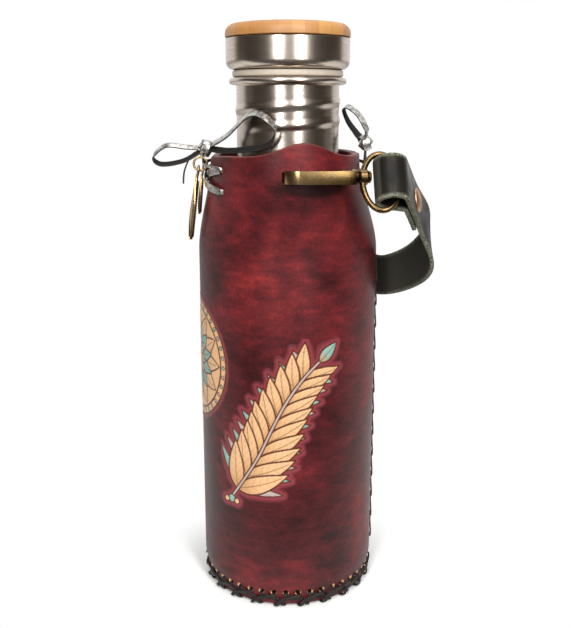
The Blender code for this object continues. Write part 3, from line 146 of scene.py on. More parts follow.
HOOK_NOSE_OUTSIDE = 0.0386
HOOK_NOSE_TIP = 0.0072
HOOK_NOSE_CORNER = 0.0014
HOOK_BLOCK_INSIDE = 0.0372
HOOK_BLOCK_START = 0.0182
HOOK_BLOCK_END = 0.0244
HOOK_PIVOT_Y = -0.0037
FAR_HOOK_TILT = math.radians(-45.0)
FORK_START = 0.0172
FORK_END = 0.0220
FORK_OUTSIDE = 0.0425
FORK_HALF = 0.00185
SWIVEL_X = 0.0425
COLLAR_RADIUS = 0.0031
COLLAR_LENGTH = 0.0017
STEM_RADIUS = 0.0014
BOSS_RADIUS = 0.0032
BOSS_LENGTH = 0.0034
RUNNING_GAP = 0.00035
STEM_HEAD_RADIUS = 0.0024
STEM_HEAD_LENGTH = 0.0010
RING_WIRE = 0.0012
RING_CENTRE_Y = 0.0350
RING_HALF_HEIGHT = 0.0124
RING_HALF_LENGTH = 0.0074
RING_DROP = 0.0022
RING_TILT = math.radians(-32.0)
SLOT_INSIDE = 0.0320
SLOT_OUTSIDE = 0.0480
STRAP_WIDTH = 0.0190
STRAP_THICKNESS = 0.0020
ROLL_RADIUS = 0.0060
ROLL_CENTRE_Y = 0.0391
FAR_ROLL_OUT = 0.0012
ROLL_START = 165.0
ROLL_ENDS = {"near": 430.0, "far": 400.0}
LAP_START = 0.0090
LAP_LENGTHS = {"near": 0.0300, "far": 0.0245}
RIVET_PLACES = {"near": 0.0205, "far": 0.0170}
RIVET_HEAD_RADIUS = 0.0052
STRAP_X_SHARES = (0.471, 0.294, 0.094, -0.188, -0.471, -0.706)
STRAP_OUT = (0.0175, 0.0220, 0.0220, 0.0160, 0.0065, 0.0010)
STRAP_DROP = (0.0268, 0.0358, 0.0468, 0.0548, 0.0603, 0.0598)
STRAP_ACROSS = ((-0.48, 0.08, 0.87), (-0.36, 0.00, 0.93), (-0.20, -0.15, 0.97), (-0.05, -0.10, 0.99),
                (0.05, 0.10, 0.99), (0.25, 0.35, 0.90))
JUMP_CENTRE = Vector((0.0050, -0.0384, 0.1966))
JUMP_RADIUS = 0.0029
JUMP_WIRE = 0.00050
CHARM_SPREAD = 0.0010
CHARM_EYE_RADIUS = 0.0023
CHARM_EYE_MIDDLE = 0.00195

# Fine sizes of the visual model alone
MM = 0.001
# Edges sharper than this many degrees stay crisp: usually, on soft or finely divided pieces, on cast brass
SHARP = 40.0
SOFT = 60.0
CAST = 35.0
# How far a cutting shape reaches beyond what it cuts
REACH = 0.002
HOLE_MOUTH = 0.0015
HOLE_FUNNEL = 0.0006
STRAND_DROPS = (0.0, 0.5, 1.0)
STRAND_TURN_SHARES = (0.0, 0.36, 0.70)
STRAND_WIDTH = 0.0016
EDGE_WIDTH = 0.0014
# Start, end and half height of the slots that the hooks pass through
NOSE_SLOT = (-0.0045, 0.0030, 0.0021)
GATE_SLOT = {"near": (0.0071, 0.0186, 0.0020), "far": (0.0071, 0.0250, 0.0030)}
SEAM_CROWN = 0.0001
KNOT_CORE = 0.95
KNOT_WAVE = 0.0004
RIM_ROUNDING = 0.0006
HOOK_ROUNDING = 0.00055
HOOK_HEEL_ROUND = 0.0019
GATE_ROUNDING = 0.0002
STEM_ROOT = 0.001
BOSS_CORNER = 0.0005
RIVET_DOME = 0.0016
RIVET_SHANK = 0.0018
RIVET_SEAT = 0.0001
CHARM_TWIST = 0.42
# How far handling has rubbed the brass bright, from 0 to 1
HOOK_WEAR = 0.55
RING_WEAR = 0.15
JUMP_WEAR = 0.70
CHARM_WEAR = 0.60
# Places along a charm, as shares of its length, with the width there
CHARM_OUTLINE = ((0.0, 0.22), (0.10, 0.30), (0.20, 0.62), (0.36, 0.94), (0.52, 1.0), (0.68, 0.86),
                 (0.84, 0.52), (0.96, 0.20), (1.0, 0.08))
BEAD_FILLET = 0.0004
MOUTH_BEVEL = 0.0006
SHOULDER_STEPS = 40
THREAD_STEPS = 16
THREAD_RINGS = 160
THREAD_SOFTNESS = 0.50
THREAD_SPREAD = 0.75
THREAD_FADE = 0.06
THREAD_SEAT = 0.00001
SEAL_LIP = 0.0008
SEAL_CLEARANCE = 0.0007
LID_EDGE = 0.0003
RUN_COUNT = 120
EASE_PASSES = 50
# Middle and size of the painted shadow under the near hook's bar
HOOK_SHADOW = (0.0390, 0.0080, 0.1893)
HOOK_SHADOW_SIZE = (1.0 / 60.0, 1.0 / 58.0, 1.0 / 240.0)
BAMBOO_STRIP = 0.0056
WHITE = (1.0, 1.0, 1.0, 1.0)


# Small helpers

def linear(code):
    """A linear colour from an sRGB hex code."""
    values = [int(code[place:place + 2], 16) / 255.0 for place in (0, 2, 4)]
    return tuple(value / 12.92 if value <= 0.04045 else ((value + 0.055) / 1.055) ** 2.4
                 for value in values) + (1.0,)


def smoothstep(value):
    value = np.clip(value, 0.0, 1.0)
    return value * value * (3.0 - 2.0 * value)


def between(value, low, high):
    """0 below the first value, 1 above the second, smooth in between (also downwards)."""
    return smoothstep((value - low) / (high - low))


def find_socket(sockets, key):
    """A socket by its number, its identifier or its name."""
    if isinstance(key, int):
        return sockets[key]
    return next((socket for socket in sockets if socket.identifier == key), None) or sockets[key]


def add(tree, kind, inputs=None, **settings):
    """Add a node: its settings, then each input as a value or as (node, output)."""
    node = tree.nodes.new(kind)
    for name, value in settings.items():
        setattr(node, name, value)
    for key, value in (inputs or {}).items():
        target = find_socket(node.inputs, key)
        if isinstance(value, tuple) and isinstance(value[0], bpy.types.Node):
            tree.links.new(find_socket(value[0].outputs, value[1]), target)
        else:
            target.default_value = value
    return node


def calc(tree, operation, first, second=0.0, third=0.0):
    return add(tree, "ShaderNodeMath", {0: first, 1: second, 2: third}, operation=operation), "Value"


def weighted(tree, *parts):
    """The sum of values, each times its weight."""
    total = 0.0
    for value, weight in parts:
        total = calc(tree, 'MULTIPLY_ADD', value, weight, total)
    return total


def remap(tree, value, low, high, bottom=0.0, top=1.0, course='LINEAR'):
    """A value's range from low to high, moved to bottom to top and held there beyond it."""
    return add(tree, "ShaderNodeMapRange", {
        "Value": value, "From Min": low, "From Max": high, "To Min": bottom, "To Max": top},
        interpolation_type=course), "Result"


def ramp(tree, value, *stops):
    """Colours along a value; each stop is its place and its hex code."""
    node = add(tree, "ShaderNodeValToRGB", {"Fac": value})
    elements = node.color_ramp.elements
    elements.remove(elements[-1])
    elements[0].position, elements[0].color = stops[0][0], linear(stops[0][1])
    for place, code in stops[1:]:
        elements.new(place).color = linear(code)
    return node, "Color"


def blend(tree, share, first, second):
    """Mix two colours; each is a value or (node, output)."""
    return add(tree, "ShaderNodeMix", {"Factor_Float": share, "A_Color": first, "B_Color": second},
               data_type="RGBA"), "Result_Color"


def mark(tree, name, output="Fac"):
    """What a mesh attribute says at each point."""
    return add(tree, "ShaderNodeAttribute", attribute_name=name), output


def placed(tree, scale=(1.0, 1.0, 1.0)):
    """Object coordinates in metres, stretched."""
    coordinates = add(tree, "ShaderNodeTexCoord"), "Object"
    return add(tree, "ShaderNodeMapping", {"Vector": coordinates, "Scale": scale}), "Vector"


def noise(tree, where, scale, detail=2.0, roughness=0.5, distortion=0.0):
    return add(tree, "ShaderNodeTexNoise", {"Vector": where, "Scale": scale, "Detail": detail,
                                            "Roughness": roughness, "Distortion": distortion}), "Fac"


def new_surface(name):
    made = bpy.data.materials.new(name)
    made.use_nodes = True
    made.node_tree.nodes.clear()
    return made, made.node_tree


def close_surface(made, colour, roughness, bump=None, **more):
    """Join up the shader; bump is (height, strength, distance), and more names its other inputs."""
    tree = made.node_tree
    inputs = {name.replace("_", " "): value for name, value in more.items()}
    if bump:
        relief = dict(zip(("Height", "Strength", "Distance"), bump))
        inputs["Normal"] = add(tree, "ShaderNodeBump", relief), "Normal"
    shader = add(tree, "ShaderNodeBsdfPrincipled", {"Base Color": colour, "Roughness": roughness, **inputs})
    add(tree, "ShaderNodeOutputMaterial", {"Surface": (shader, "BSDF")})
    return made


# Surfaces

def make_dyed_leather():
    """Vegetable-tanned cowhide, dyed burgundy by hand and waxed: cloudy dye, fine pores, painted ornament.

    The colour is brighter towards the mouth; painted shade darkens the laced side and the foot, and a painted
    shadow darkens the leather under the near brass bar.
    """
    made, tree = new_surface("hand dyed burgundy leather")
    where = placed(tree)
    cloud = noise(tree, where, 40.0, 2.0, 0.45, 0.2)
    wipe = noise(tree, placed(tree, (1.0, 1.0, 2.5)), 105.0, 5.0, 0.62, 0.3)
    fine = noise(tree, where, 700.0, 3.0, 0.7)
    split = add(tree, "ShaderNodeSeparateXYZ", {"Vector": where})
    lift = remap(tree, (split, "Z"), 0.09, 0.19, -0.028, 0.034)
    # Painted shade: darker on the laced side (-Y), where less light falls, and towards the foot, by the floor
    laced = remap(tree, (split, "Y"), -0.022, -0.038, 0.0, 0.075)
    foot = remap(tree, (split, "Z"), 0.030, 0.006, 0.0, 0.070)
    tone = weighted(tree, (cloud, 0.46), (wipe, 0.36), (fine, 0.18), (lift, 1.0), (laced, -1.0), (foot, -1.0))
    colour = ramp(tree, tone, (0.34, "270c0e"), (0.46, "431417"), (0.56, "5e1a1d"), (0.70, "8a2826"))
    # Painted shadow: a dark patch on the leather under the near hook's bar, where its shadow falls
    away = add(tree, "ShaderNodeMapping", {"Vector": where, "Location": HOOK_SHADOW, "Scale": HOOK_SHADOW_SIZE},
               vector_type='TEXTURE'), "Vector"
    away = add(tree, "ShaderNodeVectorMath", {0: away}, operation='LENGTH'), "Value"
    colour = blend(tree, remap(tree, away, 0.70, 1.20, 0.85, 0.0, 'SMOOTHSTEP'), colour, linear("1a0809"))
    colour = blend(tree, mark(tree, "halo"), colour, linear("8a3a42"))
    colour = blend(tree, mark(tree, "edge"), colour, linear("5c2a24"))
    worn = remap(tree, fine, 0.28, 0.42, 0.72, 1.0)
    cover = calc(tree, 'MULTIPLY', mark(tree, "cover"), worn)
    colour = blend(tree, cover, colour, mark(tree, "paint", "Color"))
    gloss = remap(tree, cloud, 0.3, 0.7, 0.34, 0.46)
    pores = add(tree, "ShaderNodeTexVoronoi", {"Vector": where, "Scale": 1300.0}, feature='SMOOTH_F1')
    height = weighted(tree, ((pores, "Distance"), 0.5), (wipe, 0.8))
    return close_surface(made, colour, gloss, (height, 0.30, 0.0003), IOR=1.31)


def make_raw_leather():
    """Undyed cut leather, as punched: pale tan with packed fibres."""
    made, tree = new_surface("raw cut leather")
    fibre = noise(tree, placed(tree), 1500.0, 3.0)
    return close_surface(made, ramp(tree, fibre, (0.3, "a8744a"), (0.7, "e2b88c")), 0.75)


def make_lace(name, gloss, mirror):
    """Latigo lace, dyed black: a grain side waxed till it mirrors, a matt flesh side, rubbed edges."""
    made, tree = new_surface(name)
    rub = noise(tree, placed(tree), 420.0, 4.0, 0.6)
    edge, flesh = mark(tree, "edge"), mark(tree, "flesh")
    grain = calc(tree, 'SUBTRACT', 1.0, calc(tree, 'MAXIMUM', flesh, edge))
    grain = calc(tree, 'MULTIPLY', grain, mirror)
    dye = ramp(tree, rub, (0.35, "0f0d0b"), (0.70, "1e1815"))
    wax = ramp(tree, rub, (0.36, "7c7873"), (0.62, "dedad5"))
    colour = blend(tree, grain, blend(tree, edge, dye, linear("2a2723")), wax)
    shine = remap(tree, flesh, 0.0, 1.0, remap(tree, rub, 0.3, 0.7, gloss, gloss + 0.12), 0.8)
    return close_surface(made, colour, shine, (rub, 0.35, 0.0002), Metallic=grain, Specular_IOR_Level=0.25)


def make_strap_leather():
    """Oiled harness leather, near black with a green cast, its cut edges left grey-green."""
    made, tree = new_surface("oiled black harness leather")
    where = placed(tree)
    cloud = noise(tree, where, 130.0, 4.0, 0.6)
    fine = noise(tree, where, 1100.0, 2.0)
    edge, flesh = mark(tree, "edge"), mark(tree, "flesh")
    dye = blend(tree, flesh, ramp(tree, cloud, (0.35, "0c0a08"), (0.68, "251f18")), linear("38362f"))
    colour = blend(tree, edge, dye, ramp(tree, fine, (0.35, "45473a"), (0.65, "7c7d6e")))
    polish = remap(tree, cloud, 0.35, 0.65, 0.48, 0.28)
    gloss = remap(tree, calc(tree, 'MAXIMUM', edge, flesh), 0.0, 1.0, polish, 0.85)
    height = weighted(tree, (cloud, 2.0), (fine, 1.0))
    return close_surface(made, colour, gloss, (height, 0.3, 0.0002), Specular_IOR_Level=0.18)


def make_brass():
    """Cast brass with an antique wash: golden where handled, brown in the hollows."""
    made, tree = new_surface("antique cast brass")
    where = placed(tree)
    wash = noise(tree, where, 110.0, 2.0, 0.5)
    colour = ramp(tree, wash, (0.36, "1c1409"), (0.50, "382912"), (0.64, "5d4722"))
    colour = blend(tree, mark(tree, "edge"), colour, linear("d3b07c"))
    gloss = remap(tree, wash, 0.3, 0.7, 0.30, 0.24)
    return close_surface(made, colour, gloss, (noise(tree, where, 900.0, 2.0), 0.05, 0.0002), Metallic=1.0)


def make_steel():
    """Spun stainless steel, brushed round its axis."""
    made, tree = new_surface("brushed stainless steel")
    turned = noise(tree, placed(tree, (0.02, 0.02, 1.0)), 5200.0, 1.0, 0.5)
    smear = noise(tree, placed(tree, (1.0, 1.0, 0.4)), 90.0, 2.0)
    colour = ramp(tree, turned, (0.3, "b8ab9f"), (0.7, "d0c4b8"))
    gloss = remap(tree, smear, 0.3, 0.7, 0.23, 0.27)
    return close_surface(made, colour, gloss, (turned, 0.015, 0.0001), Metallic=1.0)


def make_bamboo():
    """Laminated caramelised bamboo: strips with dark glue lines, fine fibres along them."""
    made, tree = new_surface("laminated bamboo")
    split = add(tree, "ShaderNodeSeparateXYZ", {"Vector": placed(tree)})
    strip = calc(tree, 'MULTIPLY', (split, "Y"), 1.0 / BAMBOO_STRIP)
    line = remap(tree, calc(tree, 'FRACT', strip), 0.0, 0.05, 0.60, 0.0)
    order = calc(tree, 'FLOOR', strip)
    shade = add(tree, "ShaderNodeTexWhiteNoise", {"W": order}, noise_dimensions='1D'), "Value"
    fibre = noise(tree, placed(tree, (0.05, 1.0, 0.25)), 2200.0, 3.0, 0.6)
    tone = weighted(tree, (shade, 0.45), (fibre, 0.55))
    colour = ramp(tree, tone, (0.2, "9e6c3a"), (0.5, "ad7b43"), (0.8, "b98950"))
    return close_surface(made, blend(tree, line, colour, linear("7c4d24")), 0.42, (fibre, 0.2, 0.0001))


def make_plain(name, code, roughness, metallic=0.0, grain=600.0, spread=0.06):
    """A plain surface with a slight cloudiness of tone."""
    made, tree = new_surface(name)
    cloud = noise(tree, placed(tree), grain, 3.0)
    colour = add(tree, "ShaderNodeHueSaturation", {
        "Color": linear(code), "Value": remap(tree, cloud, 0.3, 0.7, 1.0 - spread, 1.0 + spread)}), "Color"
    return close_surface(made, colour, roughness, (cloud, 0.15, 0.0001), Metallic=metallic)


def make_floor_paper():
    """Pale paper that keeps the object's shadow and turns into the white backdrop further off.

    Only the eye sees that white. In front, the object mirrors the room's dark carpet.
    """
    made, tree = new_surface("pale paper floor")
    where = placed(tree)
    seen = add(tree, "ShaderNodeLightPath"), "Is Camera Ray"
    away = add(tree, "ShaderNodeVectorMath", {0: where}, operation="LENGTH"), "Value"
    forward = add(tree, "ShaderNodeSeparateXYZ", {"Vector": where}), "X"
    carpet = remap(tree, forward, 0.05, 0.17, course='SMOOTHSTEP')
    carpet = calc(tree, 'MULTIPLY', carpet, calc(tree, 'SUBTRACT', 1.0, seen))
    paint = blend(tree, carpet, linear("f4f3f1"), linear("262422"))
    shader = add(tree, "ShaderNodeBsdfPrincipled", {"Base Color": paint, "Roughness": 0.8}), "BSDF"
    fade = calc(tree, 'MULTIPLY', remap(tree, away, 0.040, 0.072, course='SMOOTHSTEP'), seen)
    white = add(tree, "ShaderNodeEmission", {"Color": WHITE, "Strength": 1.0}), "Emission"
    mix = add(tree, "ShaderNodeMixShader", {0: fade, 1: shader, 2: white}), "Shader"
    add(tree, "ShaderNodeOutputMaterial", {"Surface": mix})
    return made


SURFACES = {
    "leather": make_dyed_leather(),
    "raw": make_raw_leather(),
    "lace": make_lace("waxed black leather lace", 0.20, 0.85),
    "worn_lace": make_lace("worn black leather lace", 0.50, 0.0),
    "strap": make_strap_leather(),
    "brass": make_brass(),
    "steel": make_steel(),
    "bamboo": make_bamboo(),
    # Moulded and a little soft: a pale matt band between steel and steel
    "silicone": make_plain("grey beige silicone", "b3a797", 0.5),
    # Hammered over and dulled by air: warm, cloudy, with a soft shine
    "copper": make_plain("aged copper", "bb9274", 0.42, 1.0, 500.0, 0.12),
    # Injection moulded: even black with a dull sheen
    "plastic": make_plain("black moulded plastic", "1c1c1c", 0.45),
    "floor": make_floor_paper(),
}


# Mesh builders

def place_object(name, data):
    made = bpy.data.objects.new(name, data)
    bpy.context.scene.collection.objects.link(made)
    return made


def shade(made, angle):
    made.data.shade_smooth()
    made.data.set_sharp_from_angle(angle=math.radians(angle))


def build(name, bm, surface, sharp=SHARP):
    """Turn the gathered shape into an object with its surface."""
    bmesh.ops.recalc_face_normals(bm, faces=bm.faces)
    mesh = bpy.data.meshes.new(name)
    bm.to_mesh(mesh)
    bm.free()
    mesh.materials.append(SURFACES[surface])
    made = place_object(name, mesh)
    shade(made, sharp)
    return made


def apply_all(made):
    """Turn the modifiers into mesh and remove them."""
    depsgraph = bpy.context.evaluated_depsgraph_get()
    shape = bpy.data.meshes.new_from_object(made.evaluated_get(depsgraph))
    made.modifiers.clear()
    made.data = shape


def rounded(made, width, segments, angle):
    change = made.modifiers.new("rounding", 'BEVEL')
    change.width = width
    change.segments = segments
    change.limit_method = 'ANGLE'
    change.angle_limit = math.radians(angle)
    apply_all(made)
    shade(made, angle)


def cut(made, tool, operation='DIFFERENCE'):
    change = made.modifiers.new("cut", 'BOOLEAN')
    change.operation = operation
    change.solver = 'EXACT'
    change.object = tool
    apply_all(made)
    bpy.data.objects.remove(tool, do_unlink=True)


def set_values(made, name, values):
    """A number on each point of a mesh."""
    attribute = made.data.attributes.get(name) or made.data.attributes.new(name, 'FLOAT', 'POINT')
    attribute.data.foreach_set("value", np.full(len(made.data.vertices), values, dtype=np.float32))


def point_places(made):
    places = np.empty(len(made.data.vertices) * 3, dtype=np.float32)
    made.data.vertices.foreach_get("co", places)
    return places.reshape(-1, 3).astype(np.float64)


def show(made, body, slot, *nodes):
    """Hand a finished piece to the frame."""
    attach(made, body)
    if nodes:
        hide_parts(*nodes)


def distances(rows):
    """The way along a row of points up to each of them."""
    return np.concatenate([[0.0], np.cumsum(np.linalg.norm(np.diff(np.asarray(rows), axis=0), axis=1))])


def evenly(rows, along, count):
    """Rows of numbers at even steps of the way along."""
    wanted = np.linspace(0.0, along[-1], count)
    return np.stack([np.interp(wanted, along, line) for line in np.asarray(rows).T], axis=1)


def smoothed(values, steps, closed=False):
    """Catmull-Rom values between rows of numbers, with so many steps from one to the next."""
    rows = np.asarray(values, dtype=float)
    if closed:
        before, start, after, beyond = (np.roll(rows, shift, axis=0) for shift in (1, 0, -1, -2))
    else:
        padded = np.vstack([rows[:1], rows, rows[-1:]])
        before, start, after, beyond = padded[:-3], padded[1:-2], padded[2:-1], padded[3:]
    t = (np.arange(steps) / steps)[None, :, None]
    before, start, after, beyond = (group[:, None] for group in (before, start, after, beyond))
    fine = 0.5 * (2.0 * start + (after - before) * t
                  + (2.0 * before - 5.0 * start + 4.0 * after - beyond) * t * t
                  + (3.0 * start - before - 3.0 * after + beyond) * t * t * t).reshape(-1, rows.shape[1])
    return fine if closed else np.vstack([fine, rows[-1:]])


def even_points(points, count):
    """Points at even distances along the smooth curve through the given points."""
    fine = smoothed(points, 400)
    return [Vector(point) for point in evenly(fine, distances(fine), count)]


def turns(count):
    return [2.0 * math.pi * step / count for step in range(count)]


def circle(middle, first, second, count):
    return [middle + first * math.cos(turn) + second * math.sin(turn) for turn in turns(count)]


def arc(x, y, radius, start, end, steps):
    """Points along an arc, its angles in degrees."""
    return [(x + radius * math.cos(turn), y + radius * math.sin(turn))
            for turn in np.radians(np.linspace(start, end, steps + 1))]


def skin(bm, rings, closed=False, capped=False):
    """Faces from ring to ring, with the row of rings closed on itself or capped at its ends."""
    for first, second in list(zip(rings, rings[1:])) + ([(rings[-1], rings[0])] if closed else []):
        for step in range(len(first)):
            after = (step + 1) % len(first)
            corners = dict.fromkeys((first[step], first[after], second[after], second[step]))
            if len(corners) > 2:
                bm.faces.new(list(corners))
    if capped:
        bm.faces.new(rings[0][::-1])
        bm.faces.new(rings[-1])


def add_band(bm, centres, across, widths, thickness, steps=5, closed=False, count=16, squareness=0.45,
             cup=0.0, middle=None):
    """A soft-edged flat strip along smooth centre points; its width and lie may be one value or a row.

    Its narrow sides are marked as edges, and the face towards the middle (or the axis) as flesh side.
    """
    length = len(centres)
    rows = np.hstack([np.array(centres), np.broadcast_to(np.array(across), (length, 3)),
                      np.broadcast_to(widths, length)[:, None]])
    fine = smoothed(rows, steps, closed)
    places, sides, breadths = fine[:, :3], fine[:, 3:6], fine[:, 6]
    along = np.gradient(places, axis=0)
    if closed:
        along = np.roll(places, -1, axis=0) - np.roll(places, 1, axis=0)
    along /= np.linalg.norm(along, axis=1)[:, None]
    sides = sides - along * np.sum(sides * along, axis=1)[:, None]
    sides /= np.linalg.norm(sides, axis=1)[:, None]
    faces = np.cross(along, sides)
    waves = 2.0 * np.pi * (np.arange(count) + 0.5) / count
    flat, through = (np.sign(wave) * np.abs(wave) ** squareness for wave in (np.cos(waves), np.sin(waves)))
    rise = through * thickness / 2.0 + cup * flat ** 2
    layers = bm.verts.layers.float
    edge = layers.get("edge") or layers.new("edge")
    flesh = layers.get("flesh") or layers.new("flesh")
    rings = []
    for place, side, face, breadth in zip(places, sides, faces, breadths):
        away = place - (np.array((0.0, 0.0, place[2])) if middle is None else np.array(middle))
        inward = -through if face.dot(away) > 0.0 else through
        ring = []
        for share, lift, inner in zip(flat, rise, inward):
            vert = bm.verts.new(place + side * share * breadth / 2.0 + face * lift)
            vert[edge] = float(between(abs(share), 0.80, 0.97))
            vert[flesh] = float(between(inner, 0.1, 0.6))
            ring.append(vert)
        rings.append(ring)
    skin(bm, rings, closed, not closed)


def add_tube(bm, centres, radius, sides, closed=False, up=UP):
    """A round bar along the centres; its radius is one value or one for each centre."""
    last = len(centres) - 1
    rings = []
    for index, (centre, size) in enumerate(zip(centres, np.broadcast_to(radius, last + 1))):
        after = centres[(index + 1) % (last + 1) if closed else min(index + 1, last)]
        before = centres[index - 1 if closed else max(index - 1, 0)]
        along = (after - before).normalized()
        side = up.cross(along).normalized()
        spots = circle(centre, side * float(size), along.cross(side) * float(size), sides)
        rings.append([bm.verts.new(spot) for spot in spots])
    skin(bm, rings, closed, not closed)


def add_turned(bm, profile, sides, place=Matrix.Identity(4)):
    """A turned solid from a profile of (radius, height) points, closed on itself or at the axis."""
    rings = []
    for radius, height in profile:
        count = sides if radius > 0.0 else 1
        spots = circle(UP * height, AXIS_X * radius, AXIS_Y * radius, count)
        rings.append([bm.verts.new(place @ spot) for spot in spots] * (sides // count))
    skin(bm, rings, profile[0][0] > 0.0)


def add_prism(bm, outline, low, high, place):
    skin(bm, [[bm.verts.new(place @ Vector((x, y, level))) for x, y in outline] for level in (low, high)],
         capped=True)


def add_box(bm, low_x, low_y, high_x, high_y, half, place):
    add_prism(bm, ((low_x, low_y), (high_x, low_y), (high_x, high_y), (low_x, high_y)), -half, half, place)


# Repeats by geometry nodes

def repeater():
    """A node group that repeats a shape on a line or round the axis."""
    group = bpy.data.node_groups.new("repeat along", 'GeometryNodeTree')
    sockets = group.interface
    inputs = {}
    for name, kind in (("Geometry", "Geometry"), ("Copies", "Int"), ("Turn", "Float"),
                       ("Rise", "Float"), ("Surface", "Material")):
        inputs[name] = sockets.new_socket(name, in_out='INPUT', socket_type="NodeSocket" + kind).identifier
    sockets.new_socket("Geometry", in_out='OUTPUT', socket_type="NodeSocketGeometry")
    entry = add(group, "NodeGroupInput")
    row = add(group, "GeometryNodeMeshLine", {"Count": (entry, "Copies"), "Offset": (0.0, 0.0, 0.0)})
    index = add(group, "GeometryNodeInputIndex"), "Index"
    turn, rise = (add(group, "ShaderNodeCombineXYZ", {"Z": calc(group, 'MULTIPLY', index, (entry, name))})
                  for name in ("Turn", "Rise"))
    spots = add(group, "GeometryNodeSetPosition", {"Geometry": (row, "Mesh"), "Offset": (rise, "Vector")})
    copies = add(group, "GeometryNodeInstanceOnPoints", {
        "Points": (spots, "Geometry"), "Instance": (entry, "Geometry"), "Rotation": (turn, "Vector")})
    real = add(group, "GeometryNodeRealizeInstances", {"Geometry": (copies, "Instances")})
    surfaced = add(group, "GeometryNodeSetMaterial", {"Geometry": (real, "Geometry"),
                                                      "Material": (entry, "Surface")})
    add(group, "NodeGroupOutput", {"Geometry": (surfaced, "Geometry")})
    return group, inputs


REPEATER, REPEATER_INPUTS = repeater()


def repeat(made, surface, **values):
    change = made.modifiers.new("repeat", 'NODES')
    change.node_group = REPEATER
    for name, value in values.items():
        change[REPEATER_INPUTS[name]] = value
    change[REPEATER_INPUTS["Surface"]] = SURFACES[surface]
    apply_all(made)


# The leather wrap

WRAP_COLUMNS = 110
WRAP_ROWS = 120
WRAP_LOW_ROWS = 64
WRAP_BEND = 0.150
# How strongly the rim and the cut faces show the rubbed edge colour
RIM_WEAR = 0.9
CUT_WEAR = 0.6
SKIVE_EASE = 0.0012
SKIVE_TOP = 0.1600
SKIVE_END = 0.1620


def mouth_lean(angle):
    mean = -(FRONT_DRAW + BACK_DRAW) / 2.0
    front_back = (BACK_DRAW - FRONT_DRAW) / 2.0
    return ((mean + SIDE_FLARE) / 2.0 + (mean - SIDE_FLARE) / 2.0 * np.cos(2.0 * angle)
            + front_back * np.cos(angle))


def wall_radius(angle, height):
    """Outer radius of the leather wall."""
    mouth = smoothstep((height - MOUTH_START) / (MOUTH_FULL - MOUTH_START))
    foot = 1.0 - np.clip((height - CASE_FOOT) / (FOOT_DRAW_HEIGHT - CASE_FOOT), 0.0, 1.0)
    return CASE_RADIUS + mouth * mouth_lean(angle) - foot * FOOT_DRAW


def rim_height(angle):
    turned = np.abs((angle + math.pi) % (2.0 * math.pi) - math.pi)
    return (RIM_HEIGHT + EAR_RISE * np.exp(-((turned - EAR_ANGLE) / EAR_SPREAD) ** 2)
            - FRONT_DIP * np.exp(-(turned / FRONT_DIP_SPREAD) ** 2))


def wall_thickness(angle, height):
    """The leather, pared thinner beside the laced seam."""
    beside = SEAM_SKIVE_WIDTH - np.abs(np.abs(angle) - math.pi) * CASE_RADIUS
    pared = between(beside, 0.0, SKIVE_EASE) * between(height, SKIVE_END, SKIVE_TOP)
    return LEATHER - SEAM_SKIVE * pared


def polar(angle, radius, height):
    return Vector((radius * math.sin(angle), -radius * math.cos(angle), height))


def wall_point(angle, height, outward=0.0):
    return polar(angle, float(wall_radius(angle, height)) + outward, height)


def slit_half(height, foot):
    """Half the width of a slit at a height: a round foot, then opening upwards."""
    rise = np.clip((height - foot) / (RIM_HEIGHT - foot), 0.0, 1.0)
    width = SLIT_FOOT_WIDTH + (SLIT_TOP_WIDTH - SLIT_FOOT_WIDTH) * rise
    round_foot = np.sqrt(np.clip((height - foot) / (SLIT_FOOT_WIDTH / 2.0), 0.0, 1.0))
    return float(width / 2.0 * round_foot)


def base_hole_angle(index):
    return 2.0 * math.pi * (index + 0.5) / BASE_HOLES


def seam_rows():
    return int((BACK_SLIT_FOOT - SEAM_FOOT) / SEAM_PITCH)


def seam_angle(side):
    return math.pi + side * SEAM_HALF_WIDTH / CASE_RADIUS


def hook_frame(side):
    lift = Matrix.Translation((0.0, 0.0, HOOK_HEIGHT))
    if side == "near":
        return lift
    heel = Matrix.Translation((0.0, HOOK_PIVOT_Y, 0.0))
    tilt = heel @ Matrix.Rotation(FAR_HOOK_TILT, 4, 'X') @ heel.inverted()
    return lift @ tilt @ Matrix.Scale(-1.0, 4, AXIS_X)


def row_height(row, rim):
    """Even rows up to where the mouth starts to lean, then rows that follow the wavy rim."""
    if row <= WRAP_LOW_ROWS:
        return CASE_FOOT + (WRAP_BEND - CASE_FOOT) * row / WRAP_LOW_ROWS
    return WRAP_BEND + (rim - WRAP_BEND) * (row - WRAP_LOW_ROWS) / (WRAP_ROWS - WRAP_LOW_ROWS)


def add_half_wrap(bm, side):
    """One side of the wrap, from the front slit round to the back one, both faces and the edges."""
    outer, inner = {}, {}
    for column in range(WRAP_COLUMNS + 1):
        share = column / WRAP_COLUMNS
        rim = float(rim_height(side * math.pi * share))
        for row in range(WRAP_ROWS + 1):
            height = row_height(row, rim)
            front = slit_half(height, FRONT_SLIT_FOOT) / CASE_RADIUS
            back = max(slit_half(height, BACK_SLIT_FOOT), SEAM_GAP / 2.0) / CASE_RADIUS
            angle = side * (front + (math.pi - back - front) * share)
            outer[column, row] = bm.verts.new(wall_point(angle, height))
            depth = float(wall_thickness(angle, height))
            inner[column, row] = bm.verts.new(wall_point(angle, height, -depth))
    for column in range(WRAP_COLUMNS):
        for row in range(WRAP_ROWS):
            corners = ((column, row), (column + 1, row), (column + 1, row + 1), (column, row + 1))
            bm.faces.new([outer[corner] for corner in corners])
            bm.faces.new([inner[corner] for corner in corners[::-1]])
    walls = [((column, row), (column + 1, row)) for row in (0, WRAP_ROWS) for column in range(WRAP_COLUMNS)]
    walls += [((column, row), (column, row + 1)) for column in (WRAP_COLUMNS, 0) for row in range(WRAP_ROWS)
              if column or outer[0, row + 1].co.x * side > 1e-7]
    for start, end in walls:
        bm.faces.new((outer[start], outer[end], inner[end], inner[start]))


